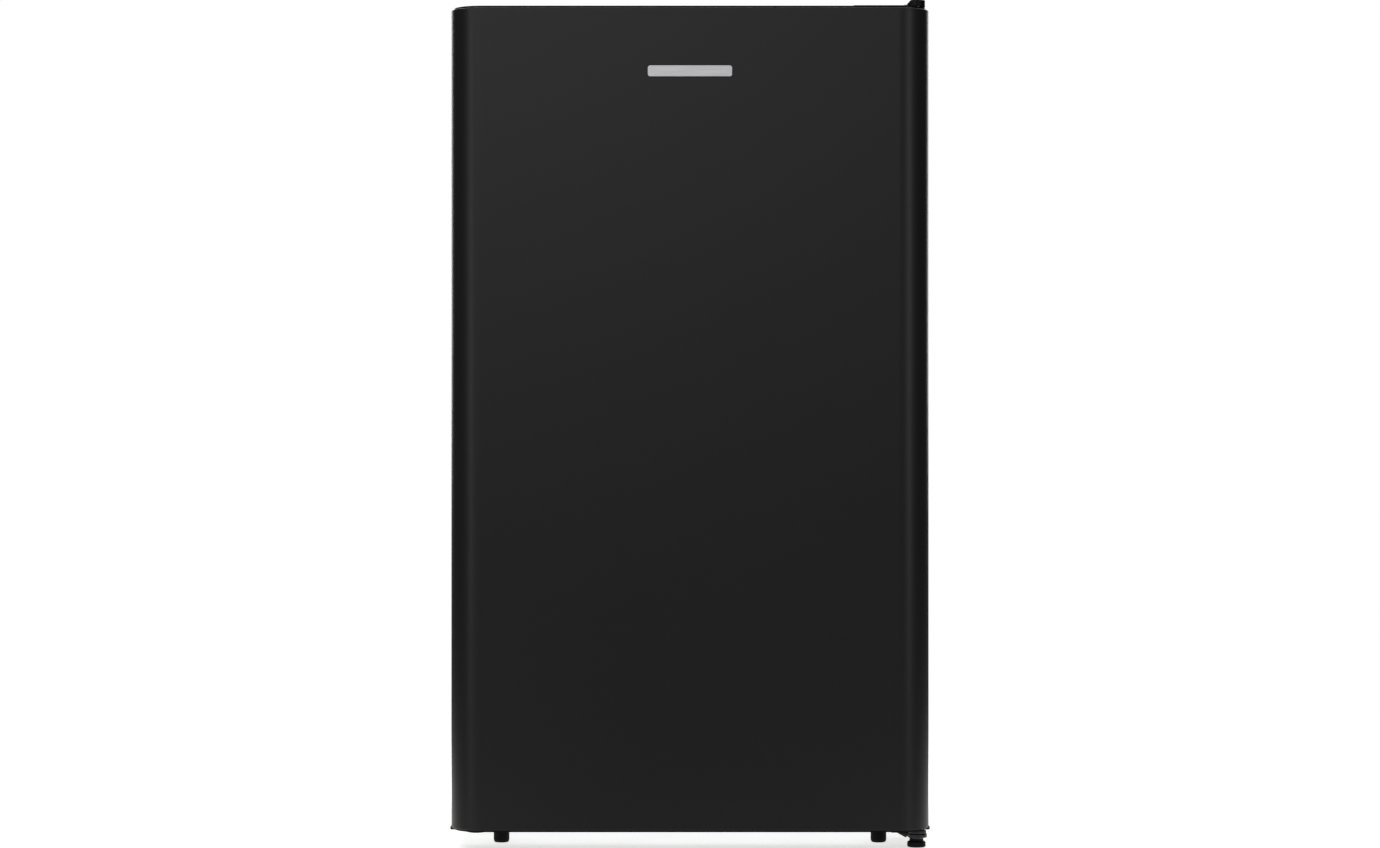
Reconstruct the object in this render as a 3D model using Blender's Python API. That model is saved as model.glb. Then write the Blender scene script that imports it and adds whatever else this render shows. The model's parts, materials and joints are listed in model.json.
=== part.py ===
"""An undercounter mini fridge, modelled as the pieces it is assembled from.

Frame: metres, +Z up. The origin is on the floor, under the middle of the overall box.
The door faces -Y and is hinged on the right, at +X. Every piece is one named object.
"""

import math

import bmesh
import bpy
from mathutils import Matrix, Vector

MM = 0.001

# ---------------------------------------------------------------- clearances
GAP = 0.3 * MM  # between pieces that rest on each other
RUNNING = 0.3 * MM  # radial, between a pin and the bush it turns in
SLIDING = 0.4 * MM  # radial, between a thread and its foot, or a gland and its hole

# ---------------------------------------------------------------- sheet and walls
SHEET = 0.8 * MM  # painted steel
LINER_WALL = 1.6 * MM  # vacuum-formed plastic
MOULDED_WALL = 2.5 * MM  # racks, drawer and trays

# ---------------------------------------------------------------- overall sizes
CABINET_WIDTH = 480 * MM
OVERALL_DEPTH = 448 * MM
CABINET_TOP = 844.5 * MM
BADGE_PROUD = 1.0 * MM
HEM_PROUD = 3.0 * MM  # how far the base hem stands out of the cabinet's side
BASE_UNDERSIDE = 15 * MM

# ---------------------------------------------------------------- door
DOOR_WIDTH = CABINET_WIDTH
DOOR_DEPTH = 42 * MM  # front to the skin's rear edge
DOOR_CORNER = min(32 * MM, DOOR_DEPTH - 6 * MM)  # radius of the rolled edges, which a thin door limits
DOOR_BOTTOM = BASE_UNDERSIDE + 5.5 * MM
DOOR_TOP = CABINET_TOP - 3.5 * MM
CAP_LIP = 2 * MM  # the end caps stand this far past the skin
CAP_LIP_INSET = 3 * MM
CAP_DEPTH = 18 * MM
CAP_WALL = 2 * MM
GASKET_GAP = 12 * MM  # door skin's rear edge to the cabinet's face
GASKET_WIDTH = 15 * MM
GASKET_INSET = 14 * MM  # from the door's side edge
SKIN_FLANGE = 12 * MM
BADGE_WIDTH = 84 * MM
BADGE_HEIGHT = 11 * MM
BADGE_DROP = 58 * MM  # from the skin's top edge to the badge

DOOR_FRONT = -OVERALL_DEPTH / 2 + BADGE_PROUD
DOOR_BACK = DOOR_FRONT + DOOR_DEPTH
CABINET_FRONT = DOOR_BACK + GASKET_GAP
LINER_PLATE = DOOR_BACK + GAP  # front of the door liner's plate
DOOR_HALF = DOOR_WIDTH / 2

# ---------------------------------------------------------------- compressor and its bay
COMPRESSOR_X = 30 * MM
COMPRESSOR_RADIUS = 56 * MM
COMPRESSOR_STRETCH = 1.25
COMPRESSOR_HEIGHT = 121.7 * MM
MOUNT_LOW = BASE_UNDERSIDE + 13.3 * MM
MOUNT_SHEET = 2.5 * MM
MOUNT_MARGIN = 28 * MM  # mounting plate past the can, left and right
MOUNT_HALF_Y = 48 * MM
GROMMET_MARGIN = 10 * MM  # from the plate's end to a grommet
GROMMET_HALF_Y = 36 * MM
EVAPORATING_TRAY = 18 * MM
GLAND_RADIUS = 9 * MM
CARRIER_SHEET = 1.5 * MM
COMPRESSOR_TOP = MOUNT_LOW + COMPRESSOR_HEIGHT
COMPRESSOR_HALF_X = COMPRESSOR_RADIUS * COMPRESSOR_STRETCH

# ---------------------------------------------------------------- cabinet
CONDENSER_STANDOFF = 24 * MM
CABINET_BACK = OVERALL_DEPTH / 2 - CONDENSER_STANDOFF
CABINET_HALF = CABINET_WIDTH / 2
CABINET_CORNER = 4 * MM
SHELL_BOTTOM = BASE_UNDERSIDE + 1.1 * MM
SIDE_WALL = 38 * MM  # insulated wall, outside to cabin
TOP_WALL = 47.5 * MM
BACK_WALL = 50 * MM
FACE_MARGIN = 4 * MM  # strip of the liner that shows inside the steel face
FLOOR_WALL = 47 * MM

BAY_DEPTH = 2 * COMPRESSOR_RADIUS + 18 * MM
BAY_TOP = COMPRESSOR_TOP + EVAPORATING_TRAY + 13 * MM
BAY_FRONT = CABINET_BACK - BAY_DEPTH
BAY_FOAM = 30 * MM  # between the bay and the cabin
COMPRESSOR_Y = BAY_FRONT + COMPRESSOR_RADIUS + 9 * MM
GLAND_SPOT = (90 * MM - CABINET_HALF, CABINET_BACK - 1.6 * MM, BASE_UNDERSIDE + 33 * MM)
DRAIN_RADIUS = 6 * MM
DRAIN_SPOT = (0.0, BAY_FRONT + 40 * MM, 0.0)

# ---------------------------------------------------------------- cabin
CABIN_HALF = CABINET_HALF - SIDE_WALL
CABIN_FLOOR = BASE_UNDERSIDE + FLOOR_WALL
CABIN_TOP = CABINET_TOP - TOP_WALL
CABIN_BACK = CABINET_BACK - BACK_WALL
HUMP_FRONT = BAY_FRONT - BAY_FOAM
HUMP_TOP = BAY_TOP + BAY_FOAM + 1 * MM
CABIN_CORNER = 9 * MM
CABIN_EDGE = 7 * MM  # rounding where the side walls meet the floor, back and top
LINER_FRONT = CABINET_FRONT + SHEET + GAP
LINER_FLANGE = 12 * MM
BASE_RAIL_TOP = CABIN_FLOOR - FACE_MARGIN

# ---------------------------------------------------------------- hinges
PIN_RADIUS = 3.5 * MM
PIN_HEAD = 1.5 * MM  # how far a pin's head stands out round it
BUSH_RADIUS = PIN_RADIUS + 2.5 * MM
BUSH_LENGTH = 15 * MM
BUSH_BOSS = BUSH_RADIUS + 1.8 * MM
HINGE_X = DOOR_HALF - BUSH_BOSS - 4.2 * MM
HINGE_Y = DOOR_FRONT + BUSH_BOSS + 13.2 * MM
UPPER_PLATE = 2.2 * MM
LOWER_PLATE = 3 * MM
LOWER_ARM = 9.7 * MM  # radius of the lower plate's rounded end
PLATE_REACH = 56 * MM  # of both plates, back from the cabinet's face and inwards from the pin
COVER_ARM = 9.25 * MM
COVER_X = HINGE_X - 1.5 * MM  # middle of the arm of the cover and of the plate under it
COVER_WALL = 1.3 * MM
COVER_TOP = CABINET_TOP + 5.8 * MM
DOME_HEIGHT = 1.7 * MM

# ---------------------------------------------------------------- feet
FRONT_FOOT_RADIUS = 8 * MM
FRONT_FOOT_X = CABINET_HALF - 48 * MM
FRONT_FOOT_Y = CABINET_FRONT + 19 * MM
HINGE_FOOT_Y = HINGE_Y + 14 * MM
HINGE_FOOT_RADIUS = 9.3 * MM
HINGE_FOOT_STEM = 7 * MM
STUD_RADIUS = 4 * MM
FOOT_SOLE = 2 * MM  # thickness of a foot under its threaded bore
REAR_FOOT_RADIUS = 11 * MM
REAR_FOOT_X = CABINET_HALF - 40 * MM
REAR_FOOT_Y = CABINET_BACK - 25 * MM
FOOT_CLEAR_X = FRONT_FOOT_X + FRONT_FOOT_RADIUS + 4 * MM  # left edge of the lower hinge plate

# ---------------------------------------------------------------- inside
SHELF_GLASS = 4 * MM
SHELF_FRONT = CABINET_FRONT + 95 * MM
SHELF_BACK = CABIN_BACK - 12 * MM
SHELF_PLAY = 4 * MM  # at each side
SHELF_TRIM = 9 * MM  # depth of the trim in front of the glass
RIB_REACH = 9 * MM
RIB_HEIGHT = 5 * MM
CRISPER_COVER = HUMP_TOP + 3 * MM
CRISPER_FRONT = SHELF_FRONT - 2 * MM

ICEBOX_HEIGHT = 118 * MM
ICEBOX_HALF = CABIN_HALF - 17 * MM
ICEBOX_TOP = CABIN_TOP - 11 * MM
ICEBOX_BOTTOM = ICEBOX_TOP - ICEBOX_HEIGHT
ICEBOX_FRONT = CABINET_FRONT + 85 * MM
ICEBOX_BACK = CABIN_BACK - 20 * MM
ICEBOX_CORNER = 12 * MM
ICEBOX_SHEET = 1.6 * MM
FRAME_DEPTH = 13.7 * MM
FLAP_THICKNESS = 11 * MM
FLAP_PIN_X = CABIN_HALF - 18 * MM
FLAP_PIN_RADIUS = 2 * MM
FLAP_LEFT = -CABIN_HALF + 14 * MM
FLAP_EAR = 8 * MM

TRAY_HIGH = ICEBOX_BOTTOM - 16 * MM
TRAY_LOW = TRAY_HIGH - 18 * MM
UPPER_SPACE = 119 * MM  # from the upper shelf to the drip tray
SHELF_PITCH = (TRAY_LOW - UPPER_SPACE - CRISPER_COVER) / 4
SHELF_LEVELS = {
    "lower_shelf": CRISPER_COVER + 2 * SHELF_PITCH,
    "upper_shelf": CRISPER_COVER + 4 * SHELF_PITCH,
}
SPARE_LEVELS = (CRISPER_COVER + SHELF_PITCH, CRISPER_COVER + 3 * SHELF_PITCH)

HOUSING_LEFT = CABIN_HALF - 42 * MM
HOUSING_HIGH = TRAY_LOW - 6 * MM
HOUSING_LOW = HOUSING_HIGH - 66 * MM
HOUSING_FRONT = SHELF_FRONT + 14 * MM
HOUSING_SPLIT = HOUSING_FRONT + 70 * MM
HOUSING_BACK = HOUSING_SPLIT + 60 * MM
KNOB_RADIUS = 17 * MM
KNOB_Y = HOUSING_FRONT + KNOB_RADIUS * 2

# ---------------------------------------------------------------- door racks
DIKE_WIDTH = 22 * MM
DIKE_OUTER = CABIN_HALF - 8 * MM
DIKE_BACK = DOOR_BACK + 41 * MM
DAM_BACK = DOOR_BACK + 29 * MM
DIKE_LOW = CABIN_FLOOR + 10 * MM
DIKE_HIGH = CABIN_TOP - 7 * MM
DAM_HEIGHT = 20 * MM
RACK_PLAY = 1.5 * MM
RACK_HALF = DIKE_OUTER - DIKE_WIDTH - RACK_PLAY
LUG_REACH = 6 * MM
LUG_WIDTH = 8 * MM
LUG_HEIGHT = 12 * MM
LUG_RAISE = 6 * MM  # above a rack's underside
LUG_Y = DOOR_BACK + 21 * MM
BOTTLE_ROOM = 308 * MM  # from the bottle rack's underside to the middle rack's
BOTTLE_RACK_FLOOR = DIKE_LOW + 40 * MM
# name: (height of the underside, rack height, reach into the cabin)
RACKS = {
    "bottle_rack": (BOTTLE_RACK_FLOOR, 92 * MM, 90 * MM),
    "middle_rack": (BOTTLE_RACK_FLOOR + BOTTLE_ROOM, 62 * MM, 70 * MM),
    "top_rack": (DIKE_HIGH - 150 * MM, 50 * MM, 55 * MM),
}

# ---------------------------------------------------------------- condenser
CONDENSER_TUBE = 2.4 * MM
CONDENSER_WIRE = 2 * MM
CONDENSER_HALF = CABINET_HALF - 50 * MM
CONDENSER_LOW = BAY_TOP + 27 * MM
CONDENSER_TOP = CABINET_TOP - 36.5 * MM
CONDENSER_PASSES = 13
CONDENSER_PITCH = (CONDENSER_TOP - CONDENSER_LOW) / (CONDENSER_PASSES - 1)
CONDENSER_Y = OVERALL_DEPTH / 2 - CONDENSER_WIRE - GAP - CONDENSER_TUBE

# ---------------------------------------------------------------- finishes
# name: (colour, roughness, metallic)
FINISHES = {
    "black_steel": ((0.024, 0.024, 0.025), 0.42, 0.0),
    "galvanised_steel": ((0.45, 0.46, 0.47), 0.45, 0.9),
    "black_plastic": ((0.012, 0.012, 0.013), 0.5, 0.0),
    "white_plastic": ((0.82, 0.83, 0.83), 0.35, 0.0),
    "clear_plastic": ((0.75, 0.80, 0.82), 0.15, 0.0),
    "shelf_glass": ((0.70, 0.80, 0.78), 0.08, 0.0),
    "insulating_foam": ((0.78, 0.70, 0.45), 0.9, 0.0),
    "aluminium": ((0.72, 0.73, 0.74), 0.4, 1.0),
    "zinc_steel": ((0.55, 0.55, 0.53), 0.35, 1.0),
    "black_zinc": ((0.035, 0.035, 0.037), 0.38, 0.6),
    "gasket_rubber": ((0.03, 0.03, 0.03), 0.6, 0.0),
    "compressor_paint": ((0.015, 0.015, 0.016), 0.35, 0.0),
    "copper": ((0.72, 0.38, 0.22), 0.35, 1.0),
    "nylon": ((0.02, 0.02, 0.021), 0.4, 0.0),
    "brushed_silver": ((0.75, 0.75, 0.76), 0.3, 1.0),
    "lamp_glass": ((0.90, 0.90, 0.86), 0.2, 0.0),
}


# ================================================================ helpers
def finish(name):
    """The material of one finish, made once."""
    material = bpy.data.materials.get(name)
    if material is None:
        colour, roughness, metallic = FINISHES[name]
        material = bpy.data.materials.new(name)
        material.use_nodes = True
        shader = material.node_tree.nodes["Principled BSDF"]
        shader.inputs["Base Color"].default_value = (*colour, 1.0)
        shader.inputs["Roughness"].default_value = roughness
        shader.inputs["Metallic"].default_value = metallic
    return material


def place(name, bm, look=None):
    """Makes a bmesh an object of the scene. A piece with no look is a helper that isn't part of the model."""
    bmesh.ops.recalc_face_normals(bm, faces=bm.faces)
    mesh = bpy.data.meshes.new(name)
    bm.to_mesh(mesh)
    bm.free()
    mesh.shade_smooth()
    mesh.set_sharp_from_angle(angle=math.radians(32))
    obj = bpy.data.objects.new(name, mesh)
    bpy.context.scene.collection.objects.link(obj)
    if look is None:
        obj.hide_render = True
        obj.display_type = "WIRE"
    else:
        mesh.materials.append(finish(look))
    return obj


def block(name, low, high, look=None, bevel=0.0):
    """A box between two corners, with an optional small bevel on every edge."""
    low, high = Vector(low), Vector(high)
    bm = bmesh.new()
    bmesh.ops.create_cube(bm, size=1.0)
    bmesh.ops.scale(bm, vec=high - low, verts=bm.verts)
    bmesh.ops.translate(bm, vec=(low + high) / 2, verts=bm.verts)
    if bevel:
        bmesh.ops.bevel(bm, geom=bm.edges[:], offset=bevel, affect="EDGES", segments=1, profile=0.5)
    return place(name, bm, look)


def arc(centre, radius, start, end, steps):
    """Points along an arc, in degrees, both ends included."""
    angles = [math.radians(start + (end - start) * i / steps) for i in range(steps + 1)]
    return [(centre[0] + radius * math.cos(a), centre[1] + radius * math.sin(a)) for a in angles]


def rounded_rectangle(low, high, radius, steps=4):
    """A closed outline with four equal round corners."""
    (x0, y0), (x1, y1) = low, high
    return (
        arc((x1 - radius, y0 + radius), radius, 270, 360, steps)
        + arc((x1 - radius, y1 - radius), radius, 0, 90, steps)
        + arc((x0 + radius, y1 - radius), radius, 90, 180, steps)
        + arc((x0 + radius, y0 + radius), radius, 180, 270, steps)
    )


def extruded(name, outline, axis, start, end, look=None, end_bevel=0.0):
    """A closed outline extruded along X, Y or Z. The outline holds the other two axes, in X, Y, Z order."""
    bm = bmesh.new()
    spot = {"X": lambda u, v: (start, u, v), "Y": lambda u, v: (u, start, v), "Z": lambda u, v: (u, v, start)}
    first = bm.faces.new([bm.verts.new(spot[axis](u, v)) for u, v in outline])
    made = bmesh.ops.extrude_face_region(bm, geom=[first])["geom"]
    moved = [v for v in made if isinstance(v, bmesh.types.BMVert)]
    travel = Vector([end - start if letter == axis else 0.0 for letter in "XYZ"])
    bmesh.ops.translate(bm, vec=travel, verts=moved)
    if end_bevel:
        caps = [f for f in bm.faces if len(f.verts) == len(outline) and len(outline) > 4]
        rims = list({e for f in caps for e in f.edges})
        bmesh.ops.recalc_face_normals(bm, faces=bm.faces)
        bmesh.ops.bevel(bm, geom=rims, offset=end_bevel, affect="EDGES", segments=3, profile=0.5)
    return place(name, bm, look)


def turned(name, profile, spot, look=None, axis="Z", steps=24, stretch=1.0):
    """A (radius, height) profile turned about an axis through spot. Profile ends on the axis are closed."""
    bm = bmesh.new()
    verts = [bm.verts.new((r, 0.0, h)) for r, h in profile]
    edges = [bm.edges.new(pair) for pair in zip(verts, verts[1:])]
    if profile[0][0] > 0 and profile[-1][0] > 0:
        edges.append(bm.edges.new((verts[-1], verts[0])))
    bmesh.ops.spin(
        bm, geom=verts + edges, axis=(0, 0, 1), cent=(0, 0, 0), angle=math.tau, steps=steps, use_merge=True
    )
    bmesh.ops.remove_doubles(bm, verts=bm.verts, dist=0.00001)
    bmesh.ops.scale(bm, vec=(stretch, 1, 1), verts=bm.verts)
    turn = {"X": Matrix.Rotation(math.radians(90), 3, "Y"), "Y": Matrix.Rotation(math.radians(-90), 3, "X")}
    if axis in turn:
        bmesh.ops.rotate(bm, matrix=turn[axis], verts=bm.verts)
    bmesh.ops.translate(bm, vec=spot, verts=bm.verts)
    return place(name, bm, look)


def rod(name, spot, radius, low, high, look=None, axis="Z", steps=24):
    """A plain cylinder; low and high are measured along its axis from spot."""
    return turned(name, [(0, low), (radius, low), (radius, high), (0, high)], spot, look, axis, steps)


def pipe(name, points, radius, look, sides=2):
    """A tube with filled ends along a run of points."""
    curve = bpy.data.curves.new(name, "CURVE")
    curve.dimensions = "3D"
    curve.bevel_depth = radius
    curve.bevel_resolution = sides
    curve.use_fill_caps = True
    spline = curve.splines.new("POLY")
    spline.points.add(len(points) - 1)
    for point, spot in zip(spline.points, points):
        point.co = (*spot, 1.0)
    curve.materials.append(finish(look))
    obj = bpy.data.objects.new(name, curve)
    bpy.context.scene.collection.objects.link(obj)
    return obj


def smooth_route(knots, steps=6):
    """A Catmull-Rom curve through the knots, as a list of points."""
    spots = [Vector(k) for k in knots]
    padded = [2 * spots[0] - spots[1]] + spots + [2 * spots[-1] - spots[-2]]
    route = []
    for a, b, c, d in zip(padded, padded[1:], padded[2:], padded[3:]):
        for i in range(steps):
            t = i / steps
            route.append(
                0.5
                * (2 * b + (c - a) * t + (2 * a - 5 * b + 4 * c - d) * t**2 + (3 * b - a - 3 * c + d) * t**3)
            )
    return [tuple(p) for p in route + [spots[-1]]]


def combine(target, operation, tools):
    """Adds one Boolean for each tool, which stays in the file as a hidden helper."""
    for tool in tools:
        modifier = target.modifiers.new(f"{operation.lower()}_{tool.name}", "BOOLEAN")
        modifier.operation = operation
        modifier.solver = "EXACT"
        modifier.object = tool
    return target


def cut(target, *tools):
    """Cuts each tool out of the target."""
    return combine(target, "DIFFERENCE", tools)


def weld(target, *tools):
    """Joins each tool to the target as one solid."""
    return combine(target, "UNION", tools)


def hang(pivot_name, spot, pieces):
    """Parents pieces to an empty on their joint's axis, leaving them where they are."""
    pivot = bpy.data.objects.new(pivot_name, None)
    pivot.location = spot
    bpy.context.scene.collection.objects.link(pivot)
    for piece in pieces:
        piece.parent = pivot
        piece.matrix_parent_inverse = Matrix.Translation(spot).inverted()


# ================================================================ cabinet
def cabinet_section(inset, bottom):
    """The cabinet seen from the front, with its two round top corners."""
    half, top, radius = CABINET_HALF - inset, CABINET_TOP - inset, CABINET_CORNER - inset
    return (
        [(-half, bottom), (half, bottom)]
        + arc((half - radius, top - radius), radius, 0, 90, 4)
        + arc((-half + radius, top - radius), radius, 90, 180, 4)
    )


def cabin_section(grow):
    """The cabin seen from the side: an open-fronted box with a step over the compressor bay."""
    floor, top = CABIN_FLOOR - grow, CABIN_TOP + grow
    step, hump, back = HUMP_FRONT + grow, HUMP_TOP - grow, CABIN_BACK + grow
    inner, outer = CABIN_CORNER - grow, CABIN_CORNER + grow
    front = CABINET_FRONT - 20 * MM
    return (
        [(front, floor)]
        + arc((step - outer, floor + outer), outer, 270, 360, 3)
        + arc((step + inner, hump - inner), inner, 180, 90, 3)
        + arc((back - outer, hump + outer), outer, 270, 360, 3)
        + arc((back - outer, top - outer), outer, 0, 90, 3)
        + [(front, top)]
    )


def make_outer_shell():
    """One steel sheet folded over both sides and the top, with a returned face round the door opening."""
    face_half = CABIN_HALF + FACE_MARGIN
    face_top = CABIN_TOP + FACE_MARGIN
    shell = extruded(
        "outer_shell", cabinet_section(0, SHELL_BOTTOM), "Y", CABINET_FRONT, CABINET_BACK, "black_steel"
    )
    hollow = extruded(
        "shell_hollow",
        cabinet_section(SHEET, SHELL_BOTTOM - 5 * MM),
        "Y",
        CABINET_FRONT + SHEET,
        CABINET_BACK + 5 * MM,
    )
    mouth = block(
        "shell_mouth",
        (-face_half, CABINET_FRONT - 5 * MM, SHELL_BOTTOM - 5 * MM),
        (face_half, CABINET_FRONT + 5 * MM, face_top),
    )
    return cut(shell, hollow, mouth)


def make_back_panel():
    """The flat rear sheet, inside the shell's rear edge."""
    outline = cabinet_section(SHEET + GAP, BAY_TOP + GAP)
    return extruded("back_panel", outline, "Y", CABINET_BACK - SHEET, CABINET_BACK, "galvanised_steel")


def side_hem(name, side, front, back):
    """The rolled edge that wraps outside the foot of one side."""
    inner, outer = CABINET_HALF + GAP, CABINET_HALF + HEM_PROUD
    low, high, lip = BASE_UNDERSIDE - 0.2 * MM, BASE_UNDERSIDE + 3.5 * MM, BASE_UNDERSIDE + 0.8 * MM
    root = CABINET_HALF - 4 * MM
    radius = 1.3 * MM
    outline = (
        [(root, low)]
        + arc((outer - radius, low + radius), radius, 270, 360, 3)
        + arc((outer - radius, high - radius), radius, 0, 90, 3)
        + [(inner, high), (inner, lip), (root, lip)]
    )
    return extruded(name, [(side * x, z) for x, z in outline], "Y", front, back)


def weld_stud(name, x, y, top, foot_floor):
    """A threaded stud that points down into a levelling foot."""
    return rod(name, (x, y, 0), STUD_RADIUS, foot_floor, top, steps=16)


def make_base_pan():
    """The stepped steel underside: front rail, floor, riser and the ceiling of the compressor bay."""
    half = CABINET_HALF - SHEET - GAP
    low, high = BASE_UNDERSIDE, BASE_UNDERSIDE + SHEET - 0.1 * MM
    rear = CABINET_BACK - SHEET - GAP
    section = [
        (CABINET_FRONT, low),
        (BAY_FRONT, low),
        (BAY_FRONT, BAY_TOP - SHEET),
        (rear, BAY_TOP - SHEET),
        (rear, BAY_TOP),
        (BAY_FRONT - SHEET, BAY_TOP),
        (BAY_FRONT - SHEET, high),
        (CABINET_FRONT, high),
    ]
    pan = extruded("base_pan", section, "X", -half, half, "galvanised_steel")
    rail_half = CABIN_HALF + FACE_MARGIN - GAP
    rail = block(
        "base_rail",
        (-rail_half, CABINET_FRONT + 0.05 * MM, low + 0.2 * MM),
        (rail_half, CABINET_FRONT + SHEET, BASE_RAIL_TOP),
    )
    hems = [
        side_hem(f"pan_hem_{side}", side, CABINET_FRONT + 0.1 * MM, BAY_FRONT - 0.1 * MM) for side in (-1, 1)
    ]
    studs = [
        weld_stud(f"pan_stud_{side}", side * FRONT_FOOT_X, FRONT_FOOT_Y, low + 0.4 * MM, FOOT_SOLE + 2 * MM)
        for side in (-1, 1)
    ]
    weld(pan, rail, *hems, *studs)
    return cut(pan, drain_hole("pan_drain_hole"))


def make_compressor_carrier():
    """The steel cross plate that the compressor stands on, with a turned-up rear edge."""
    half = CABINET_HALF - SHEET - GAP
    front = BAY_FRONT + 2 * MM
    carrier = block(
        "compressor_carrier",
        (-half, front, BASE_UNDERSIDE),
        (half, CABINET_BACK - 2 * MM, BASE_UNDERSIDE + CARRIER_SHEET),
        "galvanised_steel",
    )
    upturn = block(
        "carrier_upturn",
        (-half + 1 * MM, CABINET_BACK - 3.5 * MM, BASE_UNDERSIDE + 0.5 * MM),
        (half - 1 * MM, CABINET_BACK - 1.9 * MM, BASE_UNDERSIDE + 13 * MM),
    )
    gland_x, _, gland_z = GLAND_SPOT
    tab = block(
        "gland_tab",
        (gland_x - 20 * MM, CABINET_BACK - 3.5 * MM, BASE_UNDERSIDE + 5 * MM),
        (gland_x + 20 * MM, CABINET_BACK - 1.9 * MM, gland_z + 18 * MM),
    )
    hems = [
        side_hem(f"carrier_hem_{side}", side, front + 0.1 * MM, CABINET_BACK - 2.5 * MM) for side in (-1, 1)
    ]
    weld(carrier, upturn, tab, *hems)
    holes = [
        rod(f"foot_hole_{side}", (side * REAR_FOOT_X, REAR_FOOT_Y, 0), 5 * MM, 10 * MM, 30 * MM, steps=16)
        for side in (-1, 1)
    ]
    gland_hole = rod("gland_hole", GLAND_SPOT, GLAND_RADIUS + SLIDING, -20 * MM, 20 * MM, axis="Y")
    return cut(carrier, gland_hole, *holes)


def drain_hole(name):
    """The clearance hole for the defrost-water tube."""
    return rod(name, DRAIN_SPOT, DRAIN_RADIUS + GAP, BAY_TOP - 10 * MM, HUMP_TOP + 10 * MM, steps=16)


def make_drain_tube():
    """The defrost-water tube from the cabin floor to the evaporating tray."""
    low, high, bore = BAY_TOP - 15 * MM, HUMP_TOP + 0.4 * MM, DRAIN_RADIUS - 2 * MM
    profile = [(bore, low), (DRAIN_RADIUS, low), (DRAIN_RADIUS, high), (bore, high)]
    return turned("drain_tube", profile, DRAIN_SPOT, "white_plastic", steps=16)


def make_cabinet_foam():
    """The rigid foam between the shell and the liner."""
    grow = LINER_WALL + GAP
    front = LINER_FRONT + LINER_WALL + GAP
    foam = extruded(
        "cabinet_foam",
        cabinet_section(SHEET + GAP, BASE_UNDERSIDE + SHEET + GAP),
        "Y",
        front,
        CABINET_BACK - SHEET - GAP,
        "insulating_foam",
    )
    half = CABIN_HALF + grow
    hollow = extruded("foam_hollow", cabin_section(grow), "X", -half, half, end_bevel=CABIN_EDGE + grow)
    bay = block(
        "foam_bay",
        (-CABINET_HALF, BAY_FRONT - SHEET - GAP, 0),
        (CABINET_HALF, CABINET_BACK + 5 * MM, BAY_TOP + GAP),
    )
    return cut(foam, hollow, bay, drain_hole("foam_drain_hole"))


def shelf_ribs():
    """The moulded ribs that carry the shelves, a pair at each height."""
    levels = (*SHELF_LEVELS.values(), *SPARE_LEVELS, TRAY_LOW)
    runs = [(height, SHELF_BACK - 4 * MM) for height in levels]
    runs.append((CRISPER_COVER, HUMP_FRONT - 4 * MM))
    ribs = []
    for index, (height, back) in enumerate(runs):
        for side in (-1, 1):
            inner, outer = side * (CABIN_HALF - RIB_REACH), side * (CABIN_HALF + LINER_WALL / 2)
            ribs.append(
                block(
                    f"rib_{index}_{side}",
                    (min(inner, outer), SHELF_FRONT + 17 * MM, height - GAP - RIB_HEIGHT),
                    (max(inner, outer), back, height - GAP),
                    bevel=1 * MM,
                )
            )
    return ribs


def make_inner_liner():
    """The white vacuum-formed cabin, with shelf ribs and a flange behind the steel face."""
    half = CABIN_HALF + LINER_WALL
    liner = extruded(
        "inner_liner",
        cabin_section(LINER_WALL),
        "X",
        -half,
        half,
        "white_plastic",
        end_bevel=CABIN_EDGE + LINER_WALL,
    )
    trim = block(
        "liner_trim",
        (-CABINET_HALF, CABINET_FRONT - 30 * MM, 0),
        (CABINET_HALF, LINER_FRONT + LINER_WALL / 2, CABINET_TOP),
    )
    flange = extruded(
        "liner_flange",
        rounded_rectangle(
            (-half - LINER_FLANGE, CABIN_FLOOR - LINER_FLANGE),
            (half + LINER_FLANGE, CABIN_TOP + LINER_FLANGE),
            CABIN_CORNER,
        ),
        "Y",
        LINER_FRONT,
        LINER_FRONT + LINER_WALL,
    )
    hollow = extruded("liner_hollow", cabin_section(0), "X", -CABIN_HALF, CABIN_HALF, end_bevel=CABIN_EDGE)
    cut(liner, trim)
    weld(liner, flange)
    cut(liner, hollow)
    weld(liner, *shelf_ribs())
    return cut(liner, drain_hole("liner_drain_hole"))


def make_hinge_hole_cover():
    """The snap-in cover over the spare hinge holes at the top left."""
    return block(
        "hinge_hole_cover",
        (8 * MM - HINGE_X, CABINET_FRONT + 9 * MM, CABINET_TOP + GAP),
        (PLATE_REACH - 4 * MM - HINGE_X, CABINET_FRONT + 45 * MM, CABINET_TOP + GAP + 1.6 * MM),
        "black_plastic",
        bevel=0.7 * MM,
    )


# ================================================================ hinges
def hinge_outline(centre_x, arm, left, root_front, root_back):
    """A plate seen from above, with an arm that ends in a half round beside the hinge axis."""
    right = centre_x + arm
    return (
        [(left, root_back), (left, root_front), (centre_x - arm, root_front)]
        + arc((centre_x, HINGE_Y), arm, 180, 360, 8)
        + [(right, root_front), (right, root_back)]
    )


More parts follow.
